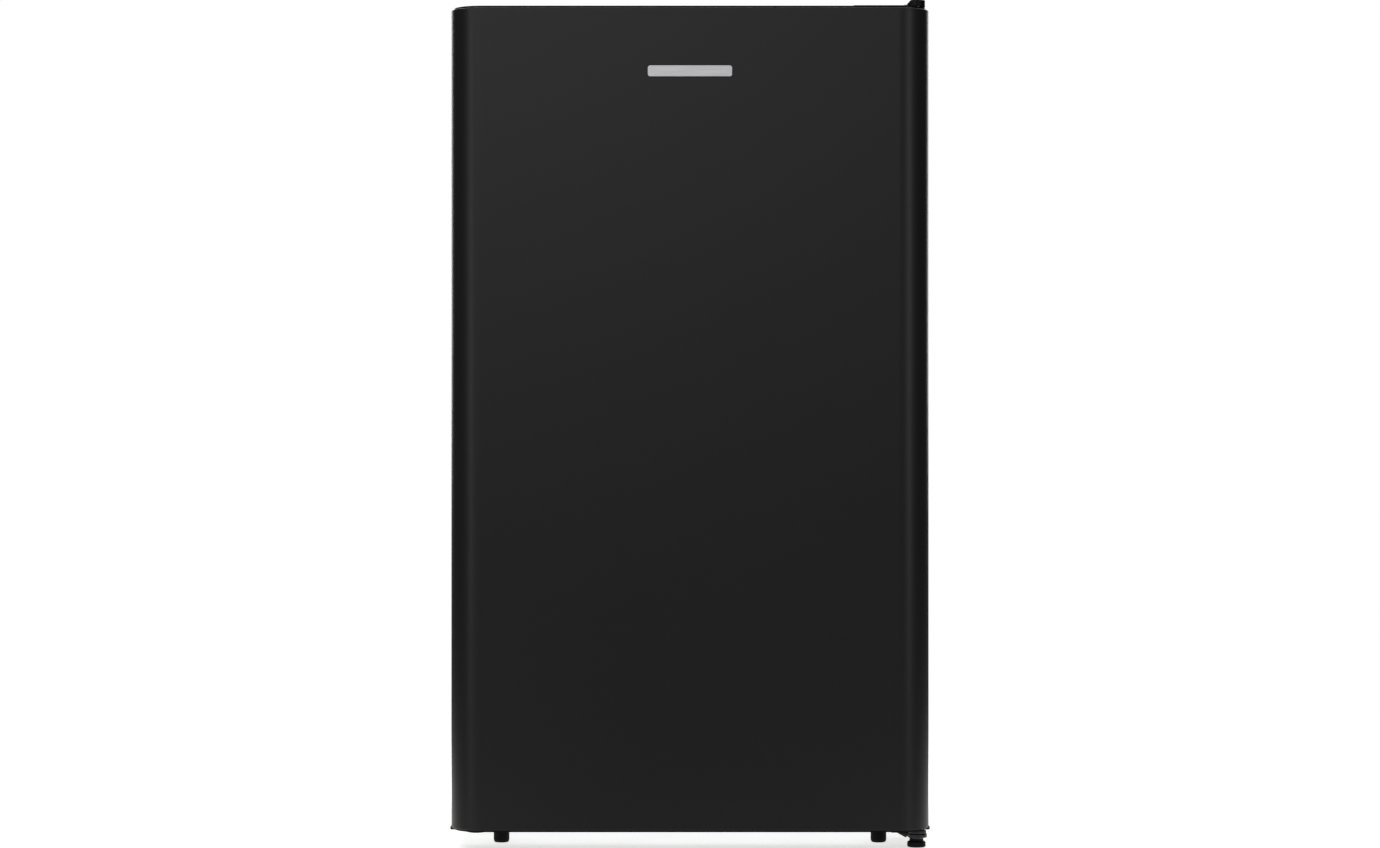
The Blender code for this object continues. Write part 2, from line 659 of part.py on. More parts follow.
def make_upper_hinge():
    """The screwed plate on the cabinet's top and the pin riveted to it."""
    low, high = CABINET_TOP + GAP, CABINET_TOP + GAP + UPPER_PLATE
    arm = COVER_ARM - COVER_WALL - 0.65 * MM
    back = CABINET_FRONT + PLATE_REACH - 3 * MM
    outline = hinge_outline(COVER_X, arm, HINGE_X - PLATE_REACH, CABINET_FRONT + 7 * MM, back)
    plate = extruded("upper_hinge_plate", outline, "Z", low, high, "zinc_steel")
    holes = [
        rod(
            f"upper_screw_hole_{i}",
            (HINGE_X - PLATE_REACH + inset, CABINET_FRONT + 30 * MM, 0),
            2.6 * MM,
            low - 5 * MM,
            high + 5 * MM,
            steps=12,
        )
        for i, inset in enumerate((14 * MM, PLATE_REACH - 14 * MM))
    ]
    pin_hole = rod("upper_pin_hole", (HINGE_X, HINGE_Y, 0), PIN_RADIUS + GAP, low - 5 * MM, high + 5 * MM)
    cut(plate, *holes, pin_hole)
    bush_floor = DOOR_TOP + CAP_LIP - BUSH_LENGTH
    profile = [
        (0, bush_floor + 1 * MM),
        (PIN_RADIUS - 1 * MM, bush_floor + 1 * MM),
        (PIN_RADIUS, bush_floor + 2 * MM),
        (PIN_RADIUS, high + GAP),
        (PIN_RADIUS + PIN_HEAD, high + GAP),
        (PIN_RADIUS + PIN_HEAD, high + 1.4 * MM),
        (0, high + 1.4 * MM),
    ]
    return [plate, turned("upper_hinge_pin", profile, (HINGE_X, HINGE_Y, 0), "zinc_steel")]


def make_hinge_cover():
    """The black moulded cover over the upper hinge, open underneath, with a low dome on its arm."""
    skirt = DOOR_TOP + CAP_LIP + 0.9 * MM
    ceiling = COVER_TOP - COVER_WALL
    root_front, root_back = CABINET_FRONT + 2 * MM, CABINET_FRONT + PLATE_REACH + 3 * MM
    left = HINGE_X - PLATE_REACH - 6 * MM
    outer = hinge_outline(COVER_X, COVER_ARM, left, root_front, root_back)
    inner = hinge_outline(
        COVER_X,
        COVER_ARM - COVER_WALL,
        left + COVER_WALL,
        root_front + COVER_WALL,
        root_back - COVER_WALL,
    )
    cover = extruded("hinge_cover", outer, "Z", skirt, COVER_TOP, "black_plastic")
    edge = COVER_TOP - 4 * MM
    slope_outline = [
        (COVER_X - COVER_ARM - 1 * MM, edge - 1 * MM),
        (COVER_X - COVER_ARM + 5 * MM, COVER_TOP + 1 * MM),
        (COVER_X - COVER_ARM - 1 * MM, COVER_TOP + 1 * MM),
    ]
    slope = extruded("cover_slope", slope_outline, "Y", HINGE_Y - 20 * MM, CABINET_FRONT - 1 * MM)
    seat = block(
        "cover_seat",
        (left - 5 * MM, CABINET_FRONT - 0.4 * MM, skirt - 5 * MM),
        (CABINET_WIDTH, 0, CABINET_TOP + GAP),
    )
    cut(cover, slope, seat, extruded("cover_hollow", inner, "Z", skirt - 5 * MM, ceiling))
    dome_profile = [
        (0, ceiling + 0.4 * MM),
        (6 * MM, ceiling + 0.4 * MM),
        (6 * MM, COVER_TOP + 0.3 * MM),
        (4.6 * MM, COVER_TOP + 1.1 * MM),
        (2.4 * MM, COVER_TOP + DOME_HEIGHT - 0.15 * MM),
        (0, COVER_TOP + DOME_HEIGHT),
    ]
    return weld(cover, turned("cover_dome", dome_profile, (COVER_X + 1 * MM, HINGE_Y + 14 * MM, 0), steps=16))


def make_lower_hinge():
    """The steel plate under the base, with its gusset, foot stud, pin and two screws."""
    high = BASE_UNDERSIDE - 0.2 * MM - GAP
    low = high - LOWER_PLATE
    back = CABINET_FRONT + PLATE_REACH + 1 * MM
    outline = hinge_outline(HINGE_X, LOWER_ARM, FOOT_CLEAR_X, CABINET_FRONT + 1 * MM, back)
    plate = extruded("lower_hinge_plate", outline, "Z", low, high, "black_zinc")
    arm_left = HINGE_X - LOWER_ARM
    gusset_outline = [
        (arm_left - 10 * MM, high - 0.2 * MM),
        (arm_left - 1.1 * MM, high - 5.2 * MM),
        (arm_left + 1.2 * MM, low + 0.4 * MM),
        (arm_left + 1.2 * MM, high - 0.2 * MM),
    ]
    gusset = extruded("plate_gusset", gusset_outline, "Y", HINGE_Y + 12 * MM, HINGE_Y + 15 * MM)
    stud = weld_stud("hinge_stud", HINGE_X, HINGE_FOOT_Y, low + 1 * MM, FOOT_SOLE + 0.8 * MM)
    weld(plate, gusset, stud)
    pin_hole = rod("lower_pin_hole", (HINGE_X, HINGE_Y, 0), PIN_RADIUS + GAP, low - 5 * MM, high + 5 * MM)
    screw_x = (FOOT_CLEAR_X + HINGE_X + LOWER_ARM) / 2
    screw_spots = [(screw_x, CABINET_FRONT + setback) for setback in (15 * MM, 45 * MM)]
    holes = [
        rod(f"lower_screw_hole_{i}", (x, y, 0), 2.5 * MM + GAP, low - 5 * MM, high + 5 * MM, steps=16)
        for i, (x, y) in enumerate(screw_spots)
    ]
    cut(plate, pin_hole, *holes)
    head = PIN_RADIUS + PIN_HEAD + 0.5 * MM
    pin_profile = [
        (0, low - 1.5 * MM),
        (head - 0.6 * MM, low - 1.5 * MM),
        (head, low - 0.9 * MM),
        (head, low - GAP),
        (PIN_RADIUS, low - GAP),
        (PIN_RADIUS, DOOR_BOTTOM - CAP_LIP + BUSH_LENGTH - 3 * MM),
        (PIN_RADIUS - 1 * MM, DOOR_BOTTOM - CAP_LIP + BUSH_LENGTH - 2 * MM),
        (0, DOOR_BOTTOM - CAP_LIP + BUSH_LENGTH - 2 * MM),
    ]
    pin = turned("lower_hinge_pin", pin_profile, (HINGE_X, HINGE_Y, 0), "black_zinc")
    screw_profile = [
        (0, low - 2.6 * MM),
        (2.4 * MM, low - 2.6 * MM),
        (4.5 * MM, low - 1.3 * MM),
        (4.5 * MM, low - GAP),
        (2.5 * MM, low - GAP),
        (2.5 * MM, high),
        (0, high),
    ]
    screws = [
        turned(f"lower_hinge_screw_{i + 1}", screw_profile, (x, y, 0), "black_zinc", steps=16)
        for i, (x, y) in enumerate(screw_spots)
    ]
    return [plate, pin, *screws]


# ================================================================ feet
def make_levelling_foot(name, x, y, profile, floor):
    """A moulded foot with a blind threaded bore that screws up onto a stud."""
    foot = turned(name, profile, (x, y, 0), "black_plastic")
    top = max(height for _, height in profile)
    cut(foot, rod(f"{name}_bore", (x, y, 0), STUD_RADIUS + SLIDING, floor, top + 5 * MM, steps=16))
    hang(f"{name}_axis", (x, y, 0), [foot])
    return foot


def make_feet():
    """Two front feet and the hinge foot, which screw up and down, and two fixed rear feet."""
    top = BASE_UNDERSIDE - 0.2 * MM - GAP
    radius = FRONT_FOOT_RADIUS
    front = [
        (0, 0),
        (radius - 2 * MM, 0),
        (radius - 0.9 * MM, 1.2 * MM),
        (radius, top - 2 * MM),
        (radius, top),
        (0, top),
    ]
    for side, word in ((-1, "left"), (1, "right")):
        make_levelling_foot(
            f"front_foot_{word}", side * FRONT_FOOT_X, FRONT_FOOT_Y, front, FOOT_SOLE + 1 * MM
        )
    plate_low = top - LOWER_PLATE
    radius, stem = HINGE_FOOT_RADIUS, HINGE_FOOT_STEM
    hinge = [
        (0, 0),
        (radius - 1.2 * MM, 0),
        (radius, 1 * MM),
        (radius, 4.8 * MM),
        (radius - 0.8 * MM, 5.7 * MM),
        (stem, 6.4 * MM),
        (stem, plate_low - GAP),
        (0, plate_low - GAP),
    ]
    make_levelling_foot("hinge_foot", HINGE_X, HINGE_FOOT_Y, hinge, FOOT_SOLE)
    radius, stub = REAR_FOOT_RADIUS, 4.6 * MM
    rear_top = BASE_UNDERSIDE - GAP
    rear = [
        (0, 0),
        (radius - 1.5 * MM, 0),
        (radius, 1.5 * MM),
        (radius, rear_top),
        (stub, rear_top),
        (stub, rear_top + 3.5 * MM),
        (0, rear_top + 3.5 * MM),
    ]
    for side, word in ((-1, "left"), (1, "right")):
        turned(f"rear_foot_{word}", rear, (side * REAR_FOOT_X, REAR_FOOT_Y, 0), "black_plastic", steps=16)


# ================================================================ door
def door_plan(inset):
    """The door seen from above, with its rolled front corners."""
    half, front, back = DOOR_HALF - inset, DOOR_FRONT + inset, DOOR_BACK - inset
    radius = DOOR_CORNER - inset
    return (
        arc((-half + radius, front + radius), radius, 180, 270, 8)
        + arc((half - radius, front + radius), radius, 270, 360, 8)
        + [(half, back), (-half, back)]
    )


def make_door_skin():
    """The steel front, rolled round both edges and flanged in behind them."""
    skin = extruded("door_skin", door_plan(0), "Z", DOOR_BOTTOM, DOOR_TOP, "black_steel")
    hollow = extruded("skin_hollow", door_plan(SHEET), "Z", DOOR_BOTTOM - 5 * MM, DOOR_TOP + 5 * MM)
    mouth_half = DOOR_HALF - SKIN_FLANGE
    mouth = block(
        "skin_mouth",
        (-mouth_half, DOOR_BACK - 5 * MM, DOOR_BOTTOM - 5 * MM),
        (mouth_half, DOOR_BACK + 5 * MM, DOOR_TOP + 5 * MM),
    )
    return cut(skin, hollow, mouth)


def make_door_cap(name, edge, outward):
    """A moulded end cap: a hollow plug inside the skin, a thin lip past it, and a boss for the hinge bush.

    edge is the skin's edge height and outward is +1 for the top cap, -1 for the bottom one.
    """

    def z(distance):
        """Height at a distance past the skin's edge, negative inside the door."""
        return edge + outward * distance

    inset = SHEET + GAP
    cap = extruded(name, door_plan(inset), "Z", z(-CAP_DEPTH), z(-0.1 * MM), "black_plastic")
    lip = extruded(f"{name}_lip", door_plan(CAP_LIP_INSET), "Z", z(-1 * MM), z(CAP_LIP))
    hollow_plan = door_plan(inset + CAP_WALL)
    hollow = extruded(f"{name}_hollow", hollow_plan, "Z", z(-CAP_DEPTH - 5 * MM), z(-CAP_WALL))
    rear = DOOR_BACK - inset - 1 * MM
    ribs = [
        block(
            f"{name}_rib_{i}",
            (x - 1 * MM, DOOR_FRONT + inset + 1 * MM, min(z(-CAP_DEPTH + 2 * MM), z(-1 * MM))),
            (x + 1 * MM, rear, max(z(-CAP_DEPTH + 2 * MM), z(-1 * MM))),
        )
        for i, x in enumerate((-120 * MM, 0.0, 120 * MM))
    ]
    axis = (HINGE_X, HINGE_Y, 0)
    boss_ends = sorted((z(-CAP_DEPTH + 0.5 * MM), z(-1 * MM)))
    boss = rod(f"{name}_boss", axis, BUSH_BOSS, *boss_ends, steps=16)
    bore_ends = sorted((z(CAP_LIP - BUSH_LENGTH - GAP), z(CAP_LIP + 5 * MM)))
    bore = rod(f"{name}_bore", axis, BUSH_RADIUS + GAP, *bore_ends)
    weld(cap, lip)
    cut(cap, hollow)
    weld(cap, *ribs, boss)
    return cut(cap, bore)


def make_bushes():
    """The nylon bushes that turn on the two hinge pins."""
    axis = (HINGE_X, HINGE_Y, 0)
    bore = PIN_RADIUS + RUNNING
    top = DOOR_TOP + CAP_LIP
    upper = [
        (bore, top - BUSH_LENGTH),
        (BUSH_RADIUS, top - BUSH_LENGTH),
        (BUSH_RADIUS, top - 0.1 * MM),
        (bore, top - 0.1 * MM),
    ]
    low = DOOR_BOTTOM - CAP_LIP
    plate = BASE_UNDERSIDE - 0.2 * MM - GAP
    flange = BUSH_RADIUS + 3 * MM
    lower = [
        (bore, plate + GAP),
        (flange - 0.8 * MM, plate + GAP),
        (flange, plate + 1.1 * MM),
        (flange, low - GAP),
        (BUSH_RADIUS, low - GAP),
        (BUSH_RADIUS, low + BUSH_LENGTH),
        (bore, low + BUSH_LENGTH),
    ]
    return [
        turned("upper_bush", upper, axis, "nylon"),
        turned("lower_bush", lower, axis, "nylon"),
    ]


PLUG_X = 14 * MM - HINGE_X
PLUG_HEAD = 11 * MM
PLUG_STEM = 6 * MM


def make_hole_plug():
    """The domed plug in the door's spare lower hinge hole."""
    low = DOOR_BOTTOM - CAP_LIP
    profile = [
        (0, low - 2.4 * MM),
        (1.2 * MM, low - 2.3 * MM),
        (1.6 * MM, low - 1.9 * MM),
        (6.5 * MM, low - 1.6 * MM),
        (PLUG_HEAD, low - 0.7 * MM),
        (PLUG_HEAD, low - GAP),
        (PLUG_STEM, low - GAP),
        (PLUG_STEM, low + 8 * MM),
        (0, low + 8 * MM),
    ]
    return turned("hole_plug", profile, (PLUG_X, HINGE_Y, 0), "black_plastic", steps=20)


def dike_boxes(name, shrink):
    """The raised ridges of the door liner, that carry the racks: two upright dikes and a dam at each end."""
    inner, outer = DIKE_OUTER - DIKE_WIDTH, DIKE_OUTER
    front = DOOR_BACK - (5 * MM if shrink else -0.5 * MM)
    boxes = [
        block(
            f"{name}_dike_{side}",
            (min(side * (inner + shrink), side * (outer - shrink)), front, DIKE_LOW + shrink),
            (max(side * (inner + shrink), side * (outer - shrink)), DIKE_BACK - shrink, DIKE_HIGH - shrink),
        )
        for side in (-1, 1)
    ]
    for word, low in (("low", DIKE_LOW), ("high", DIKE_HIGH - DAM_HEIGHT)):
        boxes.append(
            block(
                f"{name}_dam_{word}",
                (-inner - 5 * MM, front, low + shrink + 0.2 * MM),
                (inner + 5 * MM, DAM_BACK - shrink, low + DAM_HEIGHT - shrink - 0.2 * MM),
            )
        )
    return boxes


def make_door_liner():
    """The white inner face of the door, hollow behind its ridges, with a lug at each rack end."""
    half, margin = DOOR_HALF - 10 * MM, 5.5 * MM
    liner = block(
        "door_liner",
        (-half, LINER_PLATE, DOOR_BOTTOM + margin),
        (half, LINER_PLATE + LINER_WALL, DOOR_TOP - margin),
        "white_plastic",
    )
    weld(liner, *dike_boxes("liner", 0.0))
    cut(liner, *dike_boxes("liner_hollow", LINER_WALL))
    lugs = []
    for rack, (floor, _, _) in RACKS.items():
        for side in (-1, 1):
            near, far = RACK_HALF + RACK_PLAY - LUG_REACH, RACK_HALF + RACK_PLAY + LINER_WALL / 2
            lugs.append(
                block(
                    f"lug_{rack}_{side}",
                    (min(side * near, side * far), LUG_Y - LUG_WIDTH / 2, floor + LUG_RAISE),
                    (max(side * near, side * far), LUG_Y + LUG_WIDTH / 2, floor + LUG_RAISE + LUG_HEIGHT),
                )
            )
    return weld(liner, *lugs)


def make_door_foam():
    """The rigid foam that fills the door between its caps."""
    low, high = DOOR_BOTTOM + CAP_DEPTH + GAP, DOOR_TOP - CAP_DEPTH - GAP
    foam = extruded("door_foam", door_plan(SHEET + GAP), "Z", low, high, "insulating_foam")
    half = DOOR_HALF - SKIN_FLANGE - GAP
    filling = block(
        "foam_filling",
        (-half, DOOR_BACK - 8 * MM, low + 2 * MM),
        (half, DOOR_BACK, high - 2 * MM),
    )
    weld(foam, filling)
    plugs = dike_boxes("foam", LINER_WALL + GAP)
    return weld(foam, *plugs)


def make_gasket():
    """The magnetic door seal, a soft frame between the door and the cabinet's face."""
    front, back = LINER_PLATE + LINER_WALL + GAP, CABINET_FRONT - GAP
    half = DOOR_HALF - GASKET_INSET
    low, high = DOOR_BOTTOM + 9.5 * MM, DOOR_TOP - 9 * MM
    outer = rounded_rectangle((-half, low), (half, high), 6 * MM, 2)
    inner = rounded_rectangle(
        (-half + GASKET_WIDTH, low + GASKET_WIDTH), (half - GASKET_WIDTH, high - GASKET_WIDTH), 2 * MM, 2
    )
    gasket = extruded("door_gasket", outer, "Y", front, back, "gasket_rubber")
    return cut(gasket, extruded("gasket_hollow", inner, "Y", front - 5 * MM, back + 5 * MM))


def make_badge():
    """A plain silver bar near the top of the door."""
    half_width, high = BADGE_WIDTH / 2, DOOR_TOP - BADGE_DROP
    outline = rounded_rectangle((-half_width, high - BADGE_HEIGHT), (half_width, high), 2.5 * MM, 3)
    return extruded("door_badge", outline, "Y", DOOR_FRONT - BADGE_PROUD, DOOR_FRONT - GAP, "brushed_silver")


def make_rack(name, floor, height, reach):
    """One open-topped door rack. A notch in each end drops over the liner's lug."""
    front, back = LINER_PLATE + LINER_WALL + 1.4 * MM, DOOR_BACK + reach
    radius = 14 * MM
    outline = (
        [(-RACK_HALF, front), (RACK_HALF, front)]
        + arc((RACK_HALF - radius, back - radius), radius, 0, 90, 4)
        + arc((-RACK_HALF + radius, back - radius), radius, 90, 180, 4)
    )
    half, wall = RACK_HALF - MOULDED_WALL, MOULDED_WALL
    hollow_outline = (
        [(-half, front + wall), (half, front + wall)]
        + arc((half - radius, back - wall - radius), radius, 0, 90, 4)
        + arc((-half + radius, back - wall - radius), radius, 90, 180, 4)
    )
    rack = extruded(name, outline, "Z", floor, floor + height, "clear_plastic")
    cut(rack, extruded(f"{name}_hollow", hollow_outline, "Z", floor + wall, floor + height + 5 * MM))
    lower_back = block(
        f"{name}_low_back",
        (-half + 12 * MM, front - 5 * MM, floor + height * 0.55),
        (half - 12 * MM, front + wall + 2 * MM, floor + height + 5 * MM),
    )
    cut(rack, lower_back)
    notches = []
    clearance = 0.5 * MM
    for side in (-1, 1):
        near, far = RACK_HALF + RACK_PLAY - LUG_REACH - clearance, RACK_HALF + 5 * MM
        notches.append(
            block(
                f"{name}_notch_{side}",
                (min(side * near, side * far), LUG_Y - LUG_WIDTH / 2 - clearance, floor - 5 * MM),
                (
                    max(side * near, side * far),
                    LUG_Y + LUG_WIDTH / 2 + clearance,
                    floor + LUG_RAISE + LUG_HEIGHT + GAP,
                ),
            )
        )
    cut(rack, *notches)
    hang(f"{name}_lift", (0, (front + back) / 2, floor), [rack])
    return rack


# ================================================================ cabin fittings
def make_shelf(name, height):
    """A sliding glass shelf with a moulded trim along its front edge."""
    half, trim_depth = CABIN_HALF - SHELF_PLAY, SHELF_TRIM
    glass = block(
        name,
        (-half, SHELF_FRONT + trim_depth, height),
        (half, SHELF_BACK, height + SHELF_GLASS),
        "shelf_glass",
    )
    outline = [
        (SHELF_FRONT, height - 4 * MM),
        (SHELF_FRONT + trim_depth - 1 * MM, height - 4 * MM),
        (SHELF_FRONT + trim_depth - 1 * MM, height - 1.8 * MM),
        (SHELF_FRONT + trim_depth + 6 * MM, height - 1.8 * MM),
        (SHELF_FRONT + trim_depth + 6 * MM, height - GAP),
        (SHELF_FRONT + trim_depth - GAP, height - GAP),
        (SHELF_FRONT + trim_depth - GAP, height + SHELF_GLASS + 1 * MM),
        (SHELF_FRONT + 2 * MM, height + SHELF_GLASS + 2 * MM),
        (SHELF_FRONT, height + SHELF_GLASS),
    ]
    trim = extruded(f"{name}_trim", outline, "X", -half, half, "white_plastic")
    hang(f"{name}_slide", (0, SHELF_FRONT, height), [glass, trim])


def make_crisper():
    """The glass cover on its ribs and the drawer in front of the bay's hump."""
    half = CABIN_HALF - SHELF_PLAY
    cover = block(
        "crisper_cover",
        (-half, SHELF_FRONT, CRISPER_COVER),
        (half, CABIN_BACK - CABIN_CORNER - 1 * MM, CRISPER_COVER + SHELF_GLASS),
        "shelf_glass",
    )
    drawer_half = CABIN_HALF - RIB_REACH - 2 * MM
    low, high = CABIN_FLOOR + GAP, CRISPER_COVER - 4 * MM
    back = HUMP_FRONT - CABIN_CORNER - 2 * MM
    outline = rounded_rectangle((-drawer_half, CRISPER_FRONT), (drawer_half, back), 10 * MM)
    drawer = extruded("crisper_drawer", outline, "Z", low, high, "clear_plastic")
    wall = MOULDED_WALL
    hollow_outline = rounded_rectangle(
        (-drawer_half + wall, CRISPER_FRONT + wall), (drawer_half - wall, back - wall), 8 * MM
    )
    hollow = extruded("drawer_hollow", hollow_outline, "Z", low + wall, high + 5 * MM)
    grip = block(
        "drawer_grip",
        (-60 * MM, CRISPER_FRONT - 5 * MM, high - 16 * MM),
        (60 * MM, CRISPER_FRONT + 5 * MM, high + 5 * MM),
    )
    cut(drawer, hollow, grip)
    hang("crisper_slide", (0, CRISPER_FRONT, low), [drawer])
    return cover


def make_icebox():
    """The folded evaporator plate that is the freezing box, its moulded frame and its flap."""
    low, high = (-ICEBOX_HALF, ICEBOX_BOTTOM), (ICEBOX_HALF, ICEBOX_TOP)
    evaporator = extruded(
        "evaporator", rounded_rectangle(low, high, ICEBOX_CORNER), "Y", ICEBOX_FRONT, ICEBOX_BACK, "aluminium"
    )
    sheet = ICEBOX_SHEET
    inside = rounded_rectangle(
        (low[0] + sheet, low[1] + sheet), (high[0] - sheet, high[1] - sheet), ICEBOX_CORNER - sheet
    )
    cut(evaporator, extruded("icebox_hollow", inside, "Y", ICEBOX_FRONT - 5 * MM, ICEBOX_BACK - sheet))
    hangers = [
        block(
            f"icebox_hanger_{x}_{y}",
            (x * 130 * MM - 8 * MM, y * 60 * MM + 30 * MM, ICEBOX_TOP - sheet / 2),
            (x * 130 * MM + 8 * MM, y * 60 * MM + 42 * MM, CABIN_TOP - GAP),
        )
        for x in (-1, 1)
        for y in (-1, 1)
    ]
    weld(evaporator, *hangers)

    frame_front, frame_back = ICEBOX_FRONT - GAP - FRAME_DEPTH, ICEBOX_FRONT - GAP
    frame_low, frame_high = ICEBOX_BOTTOM - 13 * MM, CABIN_TOP - GAP
    frame = extruded(
        "icebox_frame",
        rounded_rectangle((-CABIN_HALF + GAP, frame_low), (CABIN_HALF - GAP, frame_high), 8 * MM, 3),
        "Y",
        frame_front,
        frame_back,
        "white_plastic",
    )
    opening = rounded_rectangle(
        (low[0] + 3 * MM, low[1] + 3 * MM), (high[0] - 3 * MM, high[1] - 3 * MM), ICEBOX_CORNER
    )
    cut(frame, extruded("frame_opening", opening, "Y", frame_front - 5 * MM, frame_back + 5 * MM))
    pin_y = frame_front - 2 * MM - FLAP_THICKNESS / 2
    ear_low, ear_high = frame_low + 0.1 * MM, frame_high - 2 * MM
    flap_low, flap_high = ear_low + FLAP_EAR + 0.5 * MM, ear_high - FLAP_EAR - 0.5 * MM
    ears = [
        block(
            f"flap_ear_{word}",
            (FLAP_PIN_X - 7 * MM, pin_y - 7 * MM, base),
            (FLAP_PIN_X + 7 * MM, frame_front + 2 * MM, base + FLAP_EAR),
        )
        for word, base in (("low", ear_low), ("high", ear_high - FLAP_EAR))
    ]
    weld(frame, *ears)
    axis = (FLAP_PIN_X, pin_y, 0)
    cut(frame, rod("ear_hole", axis, FLAP_PIN_RADIUS + 0.4 * MM, flap_low - 4.5 * MM, flap_high + 4.5 * MM))

    half = FLAP_THICKNESS / 2
    flap_outline = [(FLAP_LEFT, pin_y + half), (FLAP_LEFT, pin_y - half)] + arc(
        (FLAP_PIN_X, pin_y), half, 270, 450, 8
    )
    flap = extruded("icebox_flap", flap_outline, "Z", flap_low, flap_high, "white_plastic")
    weld(flap, rod("flap_pin", axis, FLAP_PIN_RADIUS, flap_low - 4 * MM, flap_high + 4 * MM, steps=12))
    grip = block(
        "flap_grip",
        (FLAP_LEFT + 12 * MM, pin_y - half - 5 * MM, (flap_low + flap_high) / 2 - 22 * MM),
        (FLAP_LEFT + 30 * MM, pin_y - half + 5 * MM, (flap_low + flap_high) / 2 + 22 * MM),
    )
    cut(flap, grip)
    hang("icebox_flap_axis", (FLAP_PIN_X, pin_y, flap_low), [flap])


def make_drip_tray():
    """The shallow tray that slides under the freezing box."""
    half, low, high = CABIN_HALF - SHELF_PLAY, TRAY_LOW, TRAY_HIGH
    front, back = SHELF_FRONT + 4 * MM, SHELF_BACK
    wall = MOULDED_WALL - 0.5 * MM
    tray = extruded(
        "drip_tray", rounded_rectangle((-half, front), (half, back), 10 * MM), "Z", low, high, "white_plastic"
    )
    inside = rounded_rectangle((-half + wall, front + wall), (half - wall, back - wall), 8 * MM)
    cut(tray, extruded("tray_hollow", inside, "Z", low + wall, high + 5 * MM))
    hang("drip_tray_slide", (0, front, low), [tray])


def make_thermostat():
    """The control housing on the right wall, its knob, and the lamp behind its clear cover."""
    wall, right = 2 * MM, CABIN_HALF - GAP
    low, high = HOUSING_LOW, HOUSING_HIGH
    housing = block(
        "thermostat_housing",
        (HOUSING_LEFT, HOUSING_FRONT, low),
        (right, HOUSING_SPLIT, high),
        "white_plastic",
        bevel=1.5 * MM,
    )
    hollow = block(
        "housing_hollow",
        (HOUSING_LEFT + wall, HOUSING_FRONT + wall, low + wall),
        (right + 5 * MM, HOUSING_SPLIT - wall, high - wall),
    )
    middle = (low + high) / 2
    shaft = (HOUSING_LEFT, KNOB_Y, middle)
    cut(housing, hollow, rod("shaft_hole", shaft, 4 * MM, -5 * MM, 5 * MM, axis="X", steps=16))
    knob_profile = [
        (0, -11 * MM),
        (KNOB_RADIUS - 2 * MM, -11 * MM),
        (KNOB_RADIUS - 0.8 * MM, -9.5 * MM),
        (KNOB_RADIUS, -1.5 * MM),
        (KNOB_RADIUS, -0.5 * MM),
        (3 * MM, -0.5 * MM),
        (3 * MM, 6 * MM),
        (0, 6 * MM),
    ]
    knob = turned("thermostat_knob", knob_profile, shaft, "white_plastic", axis="X")
    pointer = block(
        "knob_pointer",
        (HOUSING_LEFT - 13.5 * MM, KNOB_Y - 2 * MM, middle - 2 * MM),
        (HOUSING_LEFT - 10 * MM, KNOB_Y + 2 * MM, middle + KNOB_RADIUS - 3 * MM),
    )
    weld(knob, pointer)
    hang("knob_axis", shaft, [knob])
    lens = block(
        "lamp_cover",
        (HOUSING_LEFT + 3 * MM, HOUSING_SPLIT + GAP, low + 2 * MM),
        (right, HOUSING_BACK, high - 2 * MM),
        "clear_plastic",
        bevel=1.5 * MM,
    )
    lens_hollow = block(
        "lens_hollow",
        (HOUSING_LEFT + 3 * MM + wall, HOUSING_SPLIT - 5 * MM, low + 2 * MM + wall),
        (right + 5 * MM, HOUSING_BACK - wall, high - 2 * MM - wall),
    )
    cut(lens, lens_hollow)
    bulb_profile = [(0, GAP), (8 * MM, GAP), (8 * MM, 22 * MM)]
    bulb_profile += [(r, h + 31 * MM) for r, h in arc((0, 0), 11 * MM, -40, 90, 6)]
    bulb_profile[-1] = (0, bulb_profile[-1][1])
    bulb_spot = ((HOUSING_LEFT + 3 * MM + right) / 2, HOUSING_SPLIT, middle)
    turned("lamp_bulb", bulb_profile, bulb_spot, "lamp_glass", axis="Y", steps=16)


